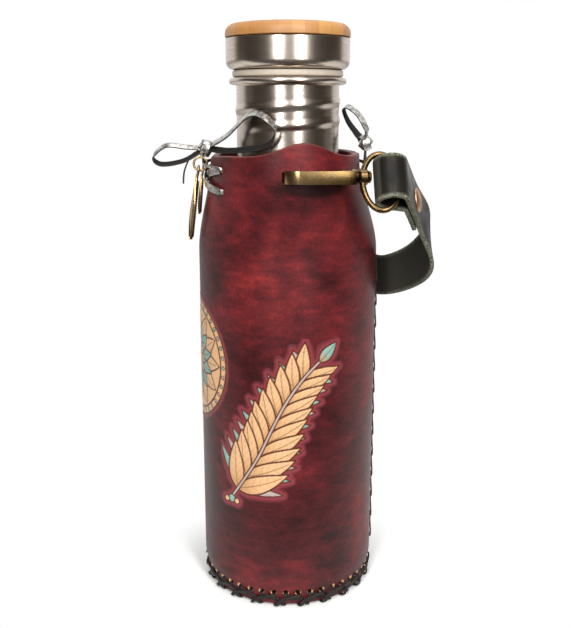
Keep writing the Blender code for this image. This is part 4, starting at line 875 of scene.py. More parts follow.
def wrap_cutters():
    """Punches for the lace holes, whose cuts show raw leather, and dyed slots for the hooks."""
    bm = bmesh.new()
    places = [(base_hole_angle(index), BASE_HOLE_HEIGHT, HOLE_MOUTH) for index in range(BASE_HOLES)]
    for side in (-1.0, 1.0):
        places += [(seam_angle(side), SEAM_FOOT + SEAM_PITCH * row, HOLE_THROAT)
                   for row in range(seam_rows())]
        places += [(side * angle, height, HOLE_THROAT) for height in MOUTH_HOLE_HEIGHTS
                   for angle in (FRONT_HOLE_ANGLE, BACK_HOLE_ANGLE)]
    for angle, height, mouth in places:
        depths = (REACH, 0.1 * MM, -HOLE_FUNNEL, -LEATHER - REACH)
        centres = [wall_point(angle, height, depth) for depth in depths]
        add_tube(bm, centres, [mouth, mouth, HOLE_THROAT, HOLE_THROAT], 20)
    punched = len(bm.faces)
    for side in ("near", "far"):
        for start, end, half in (NOSE_SLOT, GATE_SLOT[side]):
            add_box(bm, SLOT_INSIDE, start, SLOT_OUTSIDE, end, half, hook_frame(side))
    cutter = build("punches", bm, "leather")
    cutter.data.materials.append(SURFACES["raw"])
    for face in cutter.data.polygons[:punched]:
        face.material_index = 1
    return cutter


def make_wrap():
    bm = bmesh.new()
    for side in (1.0, -1.0):
        add_half_wrap(bm, side)
    bmesh.ops.remove_doubles(bm, verts=bm.verts, dist=1e-6)
    wrap = build("leather_wrap", bm, "leather")
    wrap.data.materials.append(SURFACES["raw"])
    rounded(wrap, RIM_ROUNDING, 3, 50.0)
    cut(wrap, wrap_cutters())
    shade(wrap, SHARP)
    places = point_places(wrap)
    angles = np.arctan2(places[:, 0], -places[:, 1])
    depth = wall_radius(angles, places[:, 2]) - np.hypot(places[:, 0], places[:, 1])
    below = rim_height(angles) - places[:, 2]
    rim = between(below, 0.0009, 0.0002) * RIM_WEAR
    cuts = between(depth, 0.0006, 0.0016) * between(np.abs(depth - LEATHER / 2.0), 0.0013, 0.0009) * CUT_WEAR
    set_values(wrap, "edge", np.clip(rim + cuts, 0.0, 1.0))
    set_values(wrap, "halo", 0.0)
    set_values(wrap, "cover", 0.0)
    show(wrap, "case", "red_leather", "case_body", "front_flaps", "back_flaps")


# The painted ornament: generic leaves and a rosette, carved and coloured

# How far the layer stands above the leather, and how far its outer border dips under it
PAINT_LIFT = 0.00012
PAINT_SINK = 0.00006
BRANCH_ROUTE = ((-24.0, -34.0), (-16.5, -23.0), (-10.0, -12.0), (-4.5, 0.0), (1.5, 12.0), (9.0, 23.0),
                (17.0, 31.0))
BEAD_COUNT = 36
BEAD_CIRCLE = 25.5
BEAD_RADIUS = 0.85
TAN, TAN_DEEP, BROWN, TEAL, GREY = (np.array(linear(code)[:3]) for code in (
    "cda378", "ad7f50", "4f2715", "7b9f95", "a5968f"))
# Petals in a ring, turn of the first in steps, start, length, width and colour
PETAL_RINGS = ((12, 0.0, 8.5, 14.2, 7.6, TAN), (12, 0.5, 5.5, 11.5, 5.8, TEAL), (8, 0.0, 2.6, 7.6, 4.6, GREY))


def mixed(under, over, share):
    return under * (1.0 - share[..., None]) + over * share[..., None]


class Canvas:
    """A grid of points on the flat leather, in millimetres, that paint is laid on."""

    def __init__(self, across, up):
        self.x, self.y = np.meshgrid(across, up, indexing="ij")
        self.colour = np.zeros(self.x.shape + (3,))
        self.cover, self.halo, self.relief = (np.zeros(self.x.shape) for _ in range(3))

    def lay(self, distance, colour, line=0.35, dome=0.10, shade=None):
        """Paint the inside of a shape, given the signed distance to its outline."""
        inside = between(distance, 0.12, -0.12)
        ink = between(np.abs(distance), line + 0.12, line - 0.08)
        tint = colour if shade is None else mixed(colour, TAN_DEEP, shade)
        self.colour = mixed(mixed(self.colour, tint, inside), BROWN, ink)
        self.cover = np.maximum(np.maximum(self.cover, inside), ink)
        self.relief = np.where(inside > 0.5, dome * between(distance, -0.1, -1.4), self.relief)
        self.relief = self.relief * (1.0 - ink) - 0.10 * ink
        self.halo = np.maximum(self.halo, between(distance, 3.0, 0.4))

    def ink(self, distance, width, strength=0.8):
        mark = between(distance, width + 0.10, width - 0.10) * strength * (self.cover > 0.3)
        self.colour = mixed(self.colour, BROWN, mark)
        self.relief -= 0.05 * mark

    def leaf(self, x, y, heading, length, width, colour, bend=0.0, veins=5, line=0.34):
        turn = math.radians(heading)
        dx, dy = self.x - x, self.y - y
        along = dx * math.cos(turn) + dy * math.sin(turn)
        share = np.clip(along / length, 0.0, 1.0)
        across = dy * math.cos(turn) - dx * math.sin(turn) - bend * length * share * share
        half = width / 2.0 * np.sin(np.pi * share ** 0.72) ** 0.85
        beyond = np.maximum(np.maximum(-along, along - length), 0.0)
        distance = np.where(beyond > 0.0, np.hypot(beyond, across), (np.abs(across) - half) * 0.9)
        self.lay(distance, colour, line, 0.12, 0.75 * between(share, 0.55, 0.0))
        inner = distance < -0.15
        if veins:
            self.ink(np.where(inner & (share < 0.86), np.abs(across), 9.0), 0.16)
            slope = (along - np.abs(across) * 0.9) / length * (veins + 1)
            rib = np.abs(slope - np.round(slope)) * length / (veins + 1)
            self.ink(np.where(inner & (share < 0.9) & (np.abs(across) < half * 0.82), rib, 9.0), 0.10, 0.45)

    def disc(self, x, y, radius, colour, line=0.34, dome=0.15):
        self.lay(np.hypot(self.x - x, self.y - y) - radius, colour, line, dome)

    def stem(self, points, width, colour):
        distance = np.full(self.x.shape, 99.0)
        for (x0, y0), (x1, y1) in zip(points, points[1:]):
            dx, dy = x1 - x0, y1 - y0
            share = np.clip(((self.x - x0) * dx + (self.y - y0) * dy) / (dx * dx + dy * dy), 0.0, 1.0)
            distance = np.minimum(distance, np.hypot(self.x - x0 - share * dx, self.y - y0 - share * dy))
        self.lay(distance - width, colour, 0.26, 0.08)


def branch_canvas():
    """A full leafy branch rising from the lower front towards the back, with buds between its leaves."""
    canvas = Canvas(np.arange(-31.0, 31.01, 0.33), np.arange(-41.0, 41.01, 0.33))
    stem = smoothed(BRANCH_ROUTE, 10)

    def shoot(place, turn, *rest):
        (x, y), ahead = stem[place], stem[place + 1]
        canvas.leaf(x, y, math.degrees(math.atan2(ahead[1] - y, ahead[0] - x)) + turn, *rest)

    for index in range(10):
        for turn, colour in ((66.0, GREY if index % 2 else TEAL), (-62.0, TEAL if index % 2 else GREY)):
            shoot(6 + 5 * index, turn, 20.5 - 0.8 * index, 4.4, colour, 0.0, 0, 0.28)
    for index in range(9, -1, -1):
        for turn, bend, length in ((44.0, -0.12, 22.5 - 0.7 * index), (-42.0, 0.12, 25.0 - 0.9 * index)):
            shoot(5 + 5 * index, turn, length, 8.2 - 0.2 * index, TAN, bend, 6)
    canvas.stem(stem, 0.70, GREY)
    canvas.leaf(stem[-1][0] - 0.6, stem[-1][1] - 0.6, 42.0, 11.0, 5.4, TEAL, 0.05, 3)
    for offset, size, colour in ((0.0, 1.9, TEAL), (1.0, 1.35, TAN), (-1.0, 1.35, TAN)):
        canvas.disc(-24.4 + offset * 2.9, -35.2 - abs(offset) * 0.8, size, colour, 0.28)
    return canvas


def rosette_canvas():
    """A round rosette of three rings of petals inside a beaded rim."""
    canvas = Canvas(np.arange(-31.0, 31.01, 0.36), np.arange(-31.0, 31.01, 0.36))
    canvas.disc(0.0, 0.0, 27.2, TAN, 0.45, 0.0)
    canvas.lay(np.abs(np.hypot(canvas.x, canvas.y) - 23.8) - 0.25, TAN_DEEP, 0.22, 0.0)
    for index, turn in enumerate(turns(BEAD_COUNT)):
        x, y = BEAD_CIRCLE * math.cos(turn), BEAD_CIRCLE * math.sin(turn)
        canvas.disc(x, y, BEAD_RADIUS, GREY if index % 2 else TEAL, 0.20, 0.08)
    for count, offset, start, length, width, colour in PETAL_RINGS:
        for index in range(count):
            heading = 360.0 * (index + offset) / count
            x, y = start * math.cos(math.radians(heading)), start * math.sin(math.radians(heading))
            canvas.leaf(x, y, heading, length, width, colour, 0.0, 3)
    canvas.disc(0.0, 0.0, 3.4, TAN, 0.35, 0.25)
    return canvas


def make_painting(name, canvas, middle_angle, middle_height):
    """A thin layer that follows the leather wherever the canvas is carved or painted."""
    angles = middle_angle + canvas.x * MM / CASE_RADIUS
    heights = middle_height + canvas.y * MM
    lift = PAINT_LIFT * between(canvas.halo, 0.02, 0.35) - PAINT_SINK * between(canvas.halo, 0.06, 0.0)
    radius = wall_radius(angles, heights) + lift + canvas.relief * MM * between(canvas.halo, 0.1, 0.6)
    places = np.stack([radius * np.sin(angles), -radius * np.cos(angles), heights], axis=-1)
    columns, rows = canvas.x.shape
    kept = canvas.halo > 0.004
    cells = kept[:-1, :-1] | kept[1:, :-1] | kept[1:, 1:] | kept[:-1, 1:]
    wanted = np.zeros(canvas.x.shape, dtype=bool)
    for across in (0, 1):
        for up in (0, 1):
            wanted[across:columns - 1 + across, up:rows - 1 + up] |= cells
    index = np.full(canvas.x.shape, -1)
    index[wanted] = np.arange(wanted.sum())
    faces = np.stack([index[:-1, :-1][cells], index[1:, :-1][cells], index[1:, 1:][cells],
                      index[:-1, 1:][cells]], axis=1)
    mesh = bpy.data.meshes.new(name)
    mesh.from_pydata(places[wanted].tolist(), [], faces.tolist())
    mesh.shade_smooth()
    mesh.materials.append(SURFACES["leather"])
    made = place_object(name, mesh)
    set_values(made, "halo", canvas.halo[wanted] * 0.75)
    set_values(made, "cover", canvas.cover[wanted])
    set_values(made, "edge", 0.0)
    colours = np.ones((len(mesh.vertices), 4), dtype=np.float32)
    colours[:, :3] = canvas.colour[wanted]
    mesh.attributes.new("paint", 'FLOAT_COLOR', 'POINT').data.foreach_set("color", colours.ravel())
    show(made, "case", "red_leather")


# Lacing

def tangent_at(point):
    return Vector((point.y, -point.x, 0.0)).normalized()


def base_strand(start, end, layer):
    """One strand's way from a hole in the wrap, down over the edge, to a hole in the disc."""
    first = base_hole_angle(start)
    turn = base_hole_angle(end) - first
    lie = LACE_REST + LACE_THICKNESS / 2.0
    off = lie + layer * (LACE_THICKNESS + LACE_REST)
    under = REBATE - lie
    leave = BASE_HOLE_HEIGHT - EXIT_DROP
    fall = CASE_FOOT - leave + EXIT_DROP
    points = [wall_point(first, leave, -LEATHER - lie), wall_point(first, leave, -LEATHER * 0.4)]
    points += [wall_point(first + turn * share, leave - EXIT_DROP + fall * drop, off)
               for drop, share in zip(STRAND_DROPS, STRAND_TURN_SHARES)]
    return points + [polar(first + turn * EDGE_TURN_SHARE, DISC_RADIUS + off, under),
                     polar(first + turn, DISC_HOLE_RADIUS, under),
                     polar(first + turn, DISC_HOLE_RADIUS, DISC_THICKNESS + lie)]


def make_base_lacing():
    """One crossing of the two strands, repeated round the base."""
    bm = bmesh.new()
    widths = [LACE_NECK, LACE_NECK * 1.15, STRAND_WIDTH * 0.92, STRAND_WIDTH * 1.05, STRAND_WIDTH, EDGE_WIDTH,
              LACE_NECK, LACE_NECK]
    for points in (base_strand(0, 2, 0.0), base_strand(3, 1, 1.0)):
        add_band(bm, points, [tangent_at(point) for point in points], widths, LACE_THICKNESS)
    lacing = build("base_lacing", bm, "worn_lace", SOFT)
    repeat(lacing, "worn_lace", Copies=BASE_HOLES // 2, Turn=4.0 * math.pi / BASE_HOLES, Rise=0.0)
    show(lacing, "case", "lace", "base_lace_first", "base_lace_second")


def make_seam_lacing():
    """Slanting strands up the back seam, each with its level run inside."""
    off = LACE_REST + LACE_THICKNESS / 2.0
    start, end = seam_angle(-1.0), seam_angle(1.0)
    low, high = SEAM_FOOT, SEAM_FOOT + SEAM_PITCH
    depth = -(LEATHER - SEAM_SKIVE) - off
    slant = UP - tangent_at(polar(math.pi, CASE_RADIUS, low)) * SEAM_PITCH / (2.0 * SEAM_HALF_WIDTH)
    points = [wall_point(*spot) for spot in (
        (end, low, depth), (math.pi, low, depth), (start, low, depth), (start, low, off),
        (math.pi, low + SEAM_PITCH / 2.0, off + SEAM_CROWN), (end, high, off), (end, high, depth))]
    widths = [LACE_NECK, LACE_NECK, LACE_NECK, LACE_NECK * 1.3, LACE_WIDTH, LACE_NECK * 1.3, LACE_NECK]
    bm = bmesh.new()
    add_band(bm, points, [UP, UP, UP, UP, slant, UP, UP], widths, LACE_THICKNESS, 6)
    lacing = build("seam_lacing", bm, "worn_lace", SOFT)
    repeat(lacing, "worn_lace", Copies=seam_rows() - 1, Turn=0.0, Rise=SEAM_PITCH)
    show(lacing, "case", "lace", "back_seam_lace")


def knot_touch(knot, toward):
    """The point just off the knot's face on the way to another point."""
    way = toward - knot
    reach = 1.0 / math.sqrt(sum((value / half) ** 2 for value, half in zip(way, KNOT_HALF)))
    return knot + way * reach + way.normalized() * GAP


def mouth_strand(middle, reach, layer, knot):
    """One strand from the knot to an upper hole and across the slit to the lower hole on the other side."""
    low, high = MOUTH_HOLE_HEIGHTS
    off = GAP + LACE_THICKNESS / 2.0
    lift = off + layer * (LACE_THICKNESS + GAP) + LACE_LIFT
    lead = off + LEAD_LIFT
    aside = tangent_at(knot)
    below = wall_point(middle + math.copysign(KNOT_LEAD_SPACING, reach) / CASE_RADIUS, LEAD_HEIGHT, lead)
    below.z = (knot.z + LEAD_HEIGHT) / 2.0
    points = [knot_touch(knot, below), below]
    across = [aside, (aside - UP * math.copysign(1.0, reach)).normalized()]
    points += [wall_point(middle + reach * 2.0 * step / LACE_STEPS, LEAD_HEIGHT, lead)
               for step in range(1, LACE_STEPS // 2)]
    widths = [LACE_NECK] * len(points) + [2.0 * HOLE_THROAT] + [LACE_WIDTH] * (LACE_STEPS - 1)
    points.append(wall_point(middle + reach, high, lift))
    for step in range(1, LACE_STEPS):
        share = step / LACE_STEPS
        points.append(wall_point(middle + reach - 2.0 * reach * share, high + (low - high) * share, lift))
    points += [wall_point(middle - reach, low, off), wall_point(middle - reach, low, -LEATHER - off)]
    widths += [2.0 * HOLE_THROAT, LACE_NECK]
    across += [UP] * (len(points) - len(across))
    if across[0].dot(UP) > 0.0 or across[1].dot(UP) < 0.0:
        across[:2] = [-across[0], -across[1]]
    return points, widths, across


def make_mouth_lacing(name, middle, reach, knot):
    """Two strands that cross over the slit, joined behind it."""
    depth = -LEATHER - GAP - LACE_THICKNESS / 2.0 - LACE_LIFT
    behind = [wall_point(middle - reach + 2.0 * reach * step / LACE_STEPS, MOUTH_HOLE_HEIGHTS[0], depth)
              for step in range(1, LACE_STEPS)]
    first = mouth_strand(middle, reach, 0.0, knot)
    second = mouth_strand(middle, -reach, 1.0, knot)
    joint = (behind, [LACE_NECK] * len(behind), [UP] * len(behind))
    points, widths, across = (there + between_them + back[::-1]
                              for there, between_them, back in zip(first, joint, second))
    bm = bmesh.new()
    add_band(bm, points, across, widths, LACE_THICKNESS, 4)
    show(build(name, bm, "lace", SOFT), "case", "lace", name)


def make_bow_piece(name, knot, route, across, returns):
    """A piece of lace that leaves its knot, and comes back to it where it is a loop."""
    corner = Vector((0.0, knot.y, RIM_HEIGHT))
    middle = [corner + Vector(point) for point in route]
    ends = [knot_touch(knot, middle[-1])] if returns else []
    points = even_points([knot_touch(knot, middle[0])] + middle + ends, 40)
    centre = sum(points, Vector()) / len(points) if returns else knot
    bm = bmesh.new()
    add_band(bm, points, across, BOW_WIDTH, LACE_THICKNESS, 3, middle=centre)
    loop = build(name, bm, "lace", SOFT)
    show(loop, "case", "lace", name)


def make_knot(name, centre, node, wraps):
    """A bow's knot: a packed core, one turn of lace drawn over it and one slanting across."""
    bm = bmesh.new()
    bmesh.ops.create_uvsphere(bm, u_segments=24, v_segments=14, radius=1.0)
    for vert in bm.verts:
        vert.co = centre + Vector([place * half * KNOT_CORE for place, half in zip(vert.co, KNOT_HALF)])
    for lean, grow, width in wraps:
        tilt = math.radians(lean)
        rise = Vector((0.0, math.sin(tilt), math.cos(tilt)))
        aside = Vector((0.0, math.cos(tilt), -math.sin(tilt)))
        points = circle(centre, AXIS_X * KNOT_HALF[0] * grow, rise * KNOT_HALF[2] * grow, 20)
        points = [point + aside * KNOT_WAVE * math.sin(2.0 * turn) for point, turn in zip(points, turns(20))]
        add_band(bm, points, aside, width, LACE_THICKNESS, 3, closed=True, middle=centre)
    show(build(name, bm, "lace", SOFT), "case", "lace", node)


# Hooks, rings and rivets

def ring_frame(side):
    stem = Matrix.Translation((SWIVEL_X, 0.0, 0.0))
    return hook_frame(side) @ stem @ Matrix.Rotation(RING_TILT, 4, 'Y') @ stem.inverted()


def swivel_line(place, y):
    return place @ Matrix.Translation((SWIVEL_X, y, 0.0)) @ Matrix.Rotation(-math.pi / 2.0, 4, 'X')


def hook_outline():
    inner_radius = HOOK_ARC_RADIUS - HOOK_BAR
    heel = HOOK_ARC_Y - HOOK_ARC_RADIUS
    nose_turn = -math.degrees(math.acos((HOOK_NOSE_OUTSIDE - HOOK_ARC_X) / inner_radius))
    points = [(HOOK_OUTSIDE, HOOK_BLOCK_END)]
    points += arc(HOOK_ARC_X, HOOK_ARC_Y, HOOK_ARC_RADIUS, 0.0, -90.0, 24)
    points += arc(HOOK_ARC_X, heel + HOOK_NOSE_CORNER, HOOK_NOSE_CORNER, -90.0, -180.0, 6)[1:]
    points += [(HOOK_NOSE_INSIDE, HOOK_NOSE_TIP), (HOOK_NOSE_OUTSIDE, HOOK_NOSE_TIP)]
    points += arc(HOOK_ARC_X, HOOK_ARC_Y, inner_radius, nose_turn, 0.0, 20)
    return points + [(HOOK_SPINE, HOOK_BLOCK_START), (HOOK_BLOCK_INSIDE, HOOK_BLOCK_START),
                     (HOOK_BLOCK_INSIDE, HOOK_BLOCK_END)]


def heel_shape(side):
    """The space that a hook may fill: a bar whose free end is rounded, seen from the front."""
    half = HOOK_THICKNESS / 2.0
    beyond = half + REACH
    heel = HOOK_ARC_Y - HOOK_ARC_RADIUS + HOOK_HEEL_ROUND
    corner = half - HOOK_HEEL_ROUND
    face = [(HOOK_BLOCK_END + REACH, -beyond), (HOOK_BLOCK_END + REACH, beyond), (heel, beyond)]
    face += arc(heel, corner, HOOK_HEEL_ROUND, 90.0, 180.0, 8)
    face += arc(heel, -corner, HOOK_HEEL_ROUND, 180.0, 270.0, 8) + [(heel, -beyond)]
    upright = Matrix(((0.0, 0.0, 1.0, 0.0), (1.0, 0.0, 0.0, 0.0), (0.0, 1.0, 0.0, 0.0), (0.0, 0.0, 0.0, 1.0)))
    bm = bmesh.new()
    add_prism(bm, face, HOOK_NOSE_INSIDE - REACH, HOOK_OUTSIDE + REACH, hook_frame(side) @ upright)
    return build("heel", bm, "brass")


def turned_tool(name, profile, place):
    bm = bmesh.new()
    add_turned(bm, profile, 40, place)
    return build(name, bm, "brass")


def make_gate(side):
    """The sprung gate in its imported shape, with its edges rounded."""
    node = side + "_hook_gate"
    bm = bmesh.new()
    bm.from_mesh(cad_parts[node].data)
    gate = build(node + "_leaf", bm, "brass")
    rounded(gate, GATE_ROUNDING, 2, CAST)
    show(gate, side + "_gate", "brass", node)


def make_hook(side):
    """The cast hook: a bent bar with a forked block for the gate and a stem for the ring's boss."""
    place = hook_frame(side)
    half = HOOK_THICKNESS / 2.0
    bm = bmesh.new()
    add_prism(bm, hook_outline(), -half, half, place)
    hook = build(side + "_snap_hook", bm, "brass")
    fork = bmesh.new()
    add_box(fork, HOOK_BLOCK_INSIDE - REACH, FORK_START, FORK_OUTSIDE, FORK_END, FORK_HALF, place)
    cut(hook, build("fork", fork, "brass"))
    cut(hook, heel_shape(side), 'INTERSECT')
    rounded(hook, HOOK_ROUNDING, 3, CAST)
    neck = COLLAR_LENGTH + BOSS_LENGTH + 2.0 * RUNNING_GAP
    tip = neck + STEM_HEAD_LENGTH
    profile = ((0.0, -STEM_ROOT), (COLLAR_RADIUS, -STEM_ROOT), (COLLAR_RADIUS, COLLAR_LENGTH * 0.8),
               (COLLAR_RADIUS * 0.92, COLLAR_LENGTH), (STEM_RADIUS, COLLAR_LENGTH), (STEM_RADIUS, neck),
               (STEM_HEAD_RADIUS, neck), (STEM_HEAD_RADIUS, neck + STEM_HEAD_LENGTH * 0.5),
               (STEM_HEAD_RADIUS * 0.7, tip), (0.0, tip))
    cut(hook, turned_tool("stem", profile, swivel_line(place, HOOK_BLOCK_END)), 'UNION')
    shade(hook, CAST)
    inside = np.array(place.inverted())
    local = point_places(hook) @ inside[:3, :3].T + inside[:3, 3]
    rim = between(half - np.abs(local[:, 2]), 0.7 * MM, 0.3 * MM)
    rim *= between(HOOK_BLOCK_END - local[:, 1], 0.0, 0.4 * MM)
    set_values(hook, "edge", rim * HOOK_WEAR)
    show(hook, "case", "brass", side + "_hook")


def make_ring(side):
    """An oval wire ring with the boss that turns on the hook's stem."""
    place = ring_frame(side)
    centres = circle(Vector((SWIVEL_X, RING_CENTRE_Y, -RING_DROP)), AXIS_Y * RING_HALF_LENGTH,
                     UP * RING_HALF_HEIGHT, 96)
    bm = bmesh.new()
    add_tube(bm, [place @ point for point in centres], RING_WIRE, 20, True,
             (place.to_3x3() @ AXIS_X).normalized())
    ring = build(side + "_ring", bm, "brass", SOFT)
    bore = STEM_RADIUS + RUNNING_GAP
    profile = ((bore, 0.0), (BOSS_RADIUS - BOSS_CORNER, 0.0), (BOSS_RADIUS, BOSS_CORNER),
               (BOSS_RADIUS, BOSS_LENGTH - BOSS_CORNER), (BOSS_RADIUS - BOSS_CORNER, BOSS_LENGTH),
               (bore, BOSS_LENGTH))
    line = swivel_line(place, HOOK_BLOCK_END + COLLAR_LENGTH + RUNNING_GAP)
    cut(ring, turned_tool("boss", profile, line), 'UNION')
    shade(ring, SHARP)
    set_values(ring, "edge", RING_WEAR)
    show(ring, side + "_ring", "brass", side + "_swivel_ring")


# The handle strap

def roll_points(side, steps):
    middle_x = SWIVEL_X + (FAR_ROLL_OUT if side == "far" else 0.0)
    points = arc(middle_x, ROLL_CENTRE_Y, ROLL_RADIUS, ROLL_START, ROLL_ENDS[side], steps)
    return [ring_frame(side) @ Vector((x, y, -RING_DROP)) for x, y in points]


def lap_points(side):
    """Where the roll ends, and two points straight on from there, under the first rivet."""
    turn = math.radians(ROLL_ENDS[side])
    heading = ring_frame(side).to_3x3() @ Vector((-math.sin(turn), math.cos(turn), 0.0))
    start = roll_points(side, 12)[-1]
    return [start + heading * (LAP_LENGTHS[side] * share) for share in (0.0, 0.5, 1.0)]


def eased(rows):
    """The same row with its corners rounded off; its two ends stay."""
    values = np.array(rows)
    for _ in range(EASE_PASSES):
        values[1:-1] = values[1:-1] * 0.5 + (values[:-2] + values[2:]) * 0.25
    return [Vector(row) for row in values]


def strap_lines():
    """The middle line of the strap's run, and which way its width lies, at even steps."""
    near_up, far_up = ((ring_frame(side).to_3x3() @ UP).normalized() for side in ("near", "far"))
    middle = [Vector((SWIVEL_X * share, CASE_RADIUS + out, RIM_HEIGHT - drop))
              for share, out, drop in zip(STRAP_X_SHARES, STRAP_OUT, STRAP_DROP)]
    route = lap_points("near") + middle + lap_points("far")[::-1]
    across = [near_up] * 3 + [Vector(shares) for shares in STRAP_ACROSS] + [far_up] * 3
    sides = evenly(across, distances(route), RUN_COUNT)
    sides /= np.linalg.norm(sides, axis=1)[:, None]
    return eased(even_points(route, RUN_COUNT)), [side.normalized() for side in eased(sides)]


def strap_face(points, sides, index):
    """The strap's outward direction at one of its steps."""
    along = points[min(index + 1, len(points) - 1)] - points[max(index - 1, 0)]
    face = along.cross(sides[index]).normalized()
    return face if face.dot(Vector((points[index].x, points[index].y, 0.0))) > 0.0 else -face


def run_index(points, distance):
    return max(1, round(distance / (points[1] - points[0]).length))


def make_strap():
    """The run with both ends rolled round the rings and lapped back inside it."""
    points, sides = strap_lines()
    last = len(points) - 1
    first = run_index(points, LAP_START)
    near_steps = list(range(run_index(points, LAP_LENGTHS["near"]), first - 1, -1))
    far_steps = list(range(last - first, last - 1 - run_index(points, LAP_LENGTHS["far"]), -1))
    near_lap, far_lap = ([points[index] - strap_face(points, sides, index) * (STRAP_THICKNESS + GAP)
                          for index in steps] for steps in (near_steps, far_steps))
    near_roll = roll_points("near", 40)[:-1]
    far_roll = roll_points("far", 40)[:-1][::-1]
    centres = near_lap + near_roll + points + far_roll + far_lap
    across = ([sides[index] for index in near_steps] + [sides[0]] * len(near_roll) + sides
              + [sides[-1]] * len(far_roll) + [sides[index] for index in far_steps])
    bm = bmesh.new()
    add_band(bm, centres, across, STRAP_WIDTH, STRAP_THICKNESS, 1, count=36, squareness=0.16)
    show(build("hand_strap", bm, "strap", SOFT), "handle", "black_leather", "handle_strap")


def make_rivet(side):
    """A copper rivet with a low dome on each face of the two layers."""
    points, sides = strap_lines()
    index = run_index(points, RIVET_PLACES[side])
    if side == "far":
        index = len(points) - 1 - index
    turn = UP.rotation_difference(strap_face(points, sides, index)).to_matrix().to_4x4()
    top = STRAP_THICKNESS / 2.0 + RIVET_SEAT
    bottom = -STRAP_THICKNESS * 1.5 - GAP - RIVET_SEAT
    dome = [(RIVET_HEAD_RADIUS * math.cos(rise), RIVET_DOME * math.sin(rise))
            for rise in (math.pi / 2.0 * step / 8 for step in range(8))]
    profile = [(0.0, bottom - RIVET_DOME)] + [(x, bottom - y) for x, y in dome[::-1]]
    profile += [(RIVET_SHANK, bottom), (RIVET_SHANK, top)]
    profile += [(x, top + y) for x, y in dome] + [(0.0, top + RIVET_DOME)]
    bm = bmesh.new()
    add_turned(bm, profile, 48, Matrix.Translation(points[index]) @ turn)
    show(build(side + "_domed_rivet", bm, "copper"), "handle", "copper", side + "_rivet")


# Charms

def make_jump_ring():
    bm = bmesh.new()
    add_tube(bm, circle(JUMP_CENTRE, AXIS_Y * JUMP_RADIUS, UP * JUMP_RADIUS, 48), JUMP_WIRE, 14, True, AXIS_X)
    ring = build("charm_ring", bm, "brass", SOFT)
    set_values(ring, "edge", JUMP_WEAR)
    show(ring, "case", "brass", "charm_jump_ring")


def make_charm(name, spread, lean, length, width, thickness, body, node):
    """A cast leaf hanging from its eye: cupped, slightly twisted, with a raised midrib."""
    foot = JUMP_CENTRE + Vector((0.0, spread, -JUMP_RADIUS))
    down = Vector((0.0, -math.sin(math.radians(lean)), -math.cos(math.radians(lean))))
    start = CHARM_EYE_RADIUS * 0.7
    points = [foot + down * (start + (length - start) * share) for share, _ in CHARM_OUTLINE]
    across = [Vector((math.cos(CHARM_TWIST * share), math.sin(CHARM_TWIST * share), 0.0))
              for share, _ in CHARM_OUTLINE]
    bm = bmesh.new()
    add_band(bm, points, across, [width * breadth for _, breadth in CHARM_OUTLINE], thickness, 6, count=28,
             squareness=0.3, cup=thickness * 0.7)
    add_band(bm, points[1:-1], across[1:-1], width * 0.13, thickness * 1.7, 6, squareness=0.8)
    add_tube(bm, circle(foot, AXIS_X * CHARM_EYE_MIDDLE, -down * CHARM_EYE_MIDDLE, 28), thickness * 0.5, 12,
             True, AXIS_Y)
    charm = build(name, bm, "brass", 50.0)
    set_values(charm, "edge", CHARM_WEAR)
    show(charm, body, "brass", node)


# The bottle and its lid

def make_bottle():
    """A spun shell with a rolled bead at its rim, and soft thread ridges round the neck."""
    foot = CASE_FOOT + GAP
    wall = BOTTLE_WALL
    shoulder = [(BOTTLE_RADIUS + (NECK_RADIUS - BOTTLE_RADIUS) * float(smoothstep(share)),
                 SHOULDER_FOOT + (SHOULDER_TOP - SHOULDER_FOOT) * share)
                for share in np.linspace(0.0, 1.0, SHOULDER_STEPS + 1)]
    half = (RIM_TOP - RIM_FOOT) / 2.0
    corner = BOTTLE_CORNER - wall
    middle = BOTTLE_RADIUS - BOTTLE_CORNER
    profile = [(0.0, foot)] + arc(middle, foot + BOTTLE_CORNER, BOTTLE_CORNER, -90.0, 0.0, 14) + shoulder
    profile += [(NECK_RADIUS, RIM_FOOT - BEAD_FILLET), (NECK_RADIUS + BEAD_FILLET, RIM_FOOT)]
    profile += arc(RIM_RADIUS - half, (RIM_FOOT + RIM_TOP) / 2.0, half, -90.0, 90.0, 12)
    profile += [(NECK_RADIUS - wall + MOUTH_BEVEL, RIM_TOP), (NECK_RADIUS - wall, RIM_TOP - MOUTH_BEVEL)]
    profile += [(radius - wall, height) for radius, height in shoulder[::-1]]
    profile += arc(middle, foot + BOTTLE_CORNER, corner, 0.0, -90.0, 14) + [(0.0, foot + wall)]
    bm = bmesh.new()
    add_turned(bm, profile, 144)
    bottle = build("steel_bottle", bm, "steel")
    thread = bmesh.new()
    rings = []
    for share in np.linspace(0.0, 1.0, THREAD_RINGS + 1):
        turn = 2.0 * math.pi * THREAD_TURNS * share + THREAD_START
        height = THREAD_FOOT + THREAD_PITCH * THREAD_TURNS * share
        grow = float(between(share, 0.0, THREAD_FADE) * between(share, 1.0, 1.0 - THREAD_FADE))
        ring = []
        for across in np.linspace(-1.0, 1.0, THREAD_STEPS + 1):
            proud = THREAD_PROUD * THREAD_SOFTNESS * grow * (0.5 + 0.5 * math.cos(across * math.pi))
            radius = NECK_RADIUS + THREAD_SEAT + proud
            ring.append(thread.verts.new((radius * math.cos(turn), radius * math.sin(turn),
                                          height + across * THREAD_WIDTH * THREAD_SPREAD)))
        rings.append(ring)
    for first, second in zip(rings, rings[1:]):
        for step in range(THREAD_STEPS):
            thread.faces.new((first[step], second[step], second[step + 1], first[step + 1]))
    show(build("thread_bead", thread, "steel", SOFT), "bottle", "steel")
    show(bottle, "bottle", "steel", "bottle")


def make_turned(name, profile, sides, surface, body, node):
    bm = bmesh.new()
    add_turned(bm, profile, sides)
    show(build(name, bm, surface), body, surface, node)


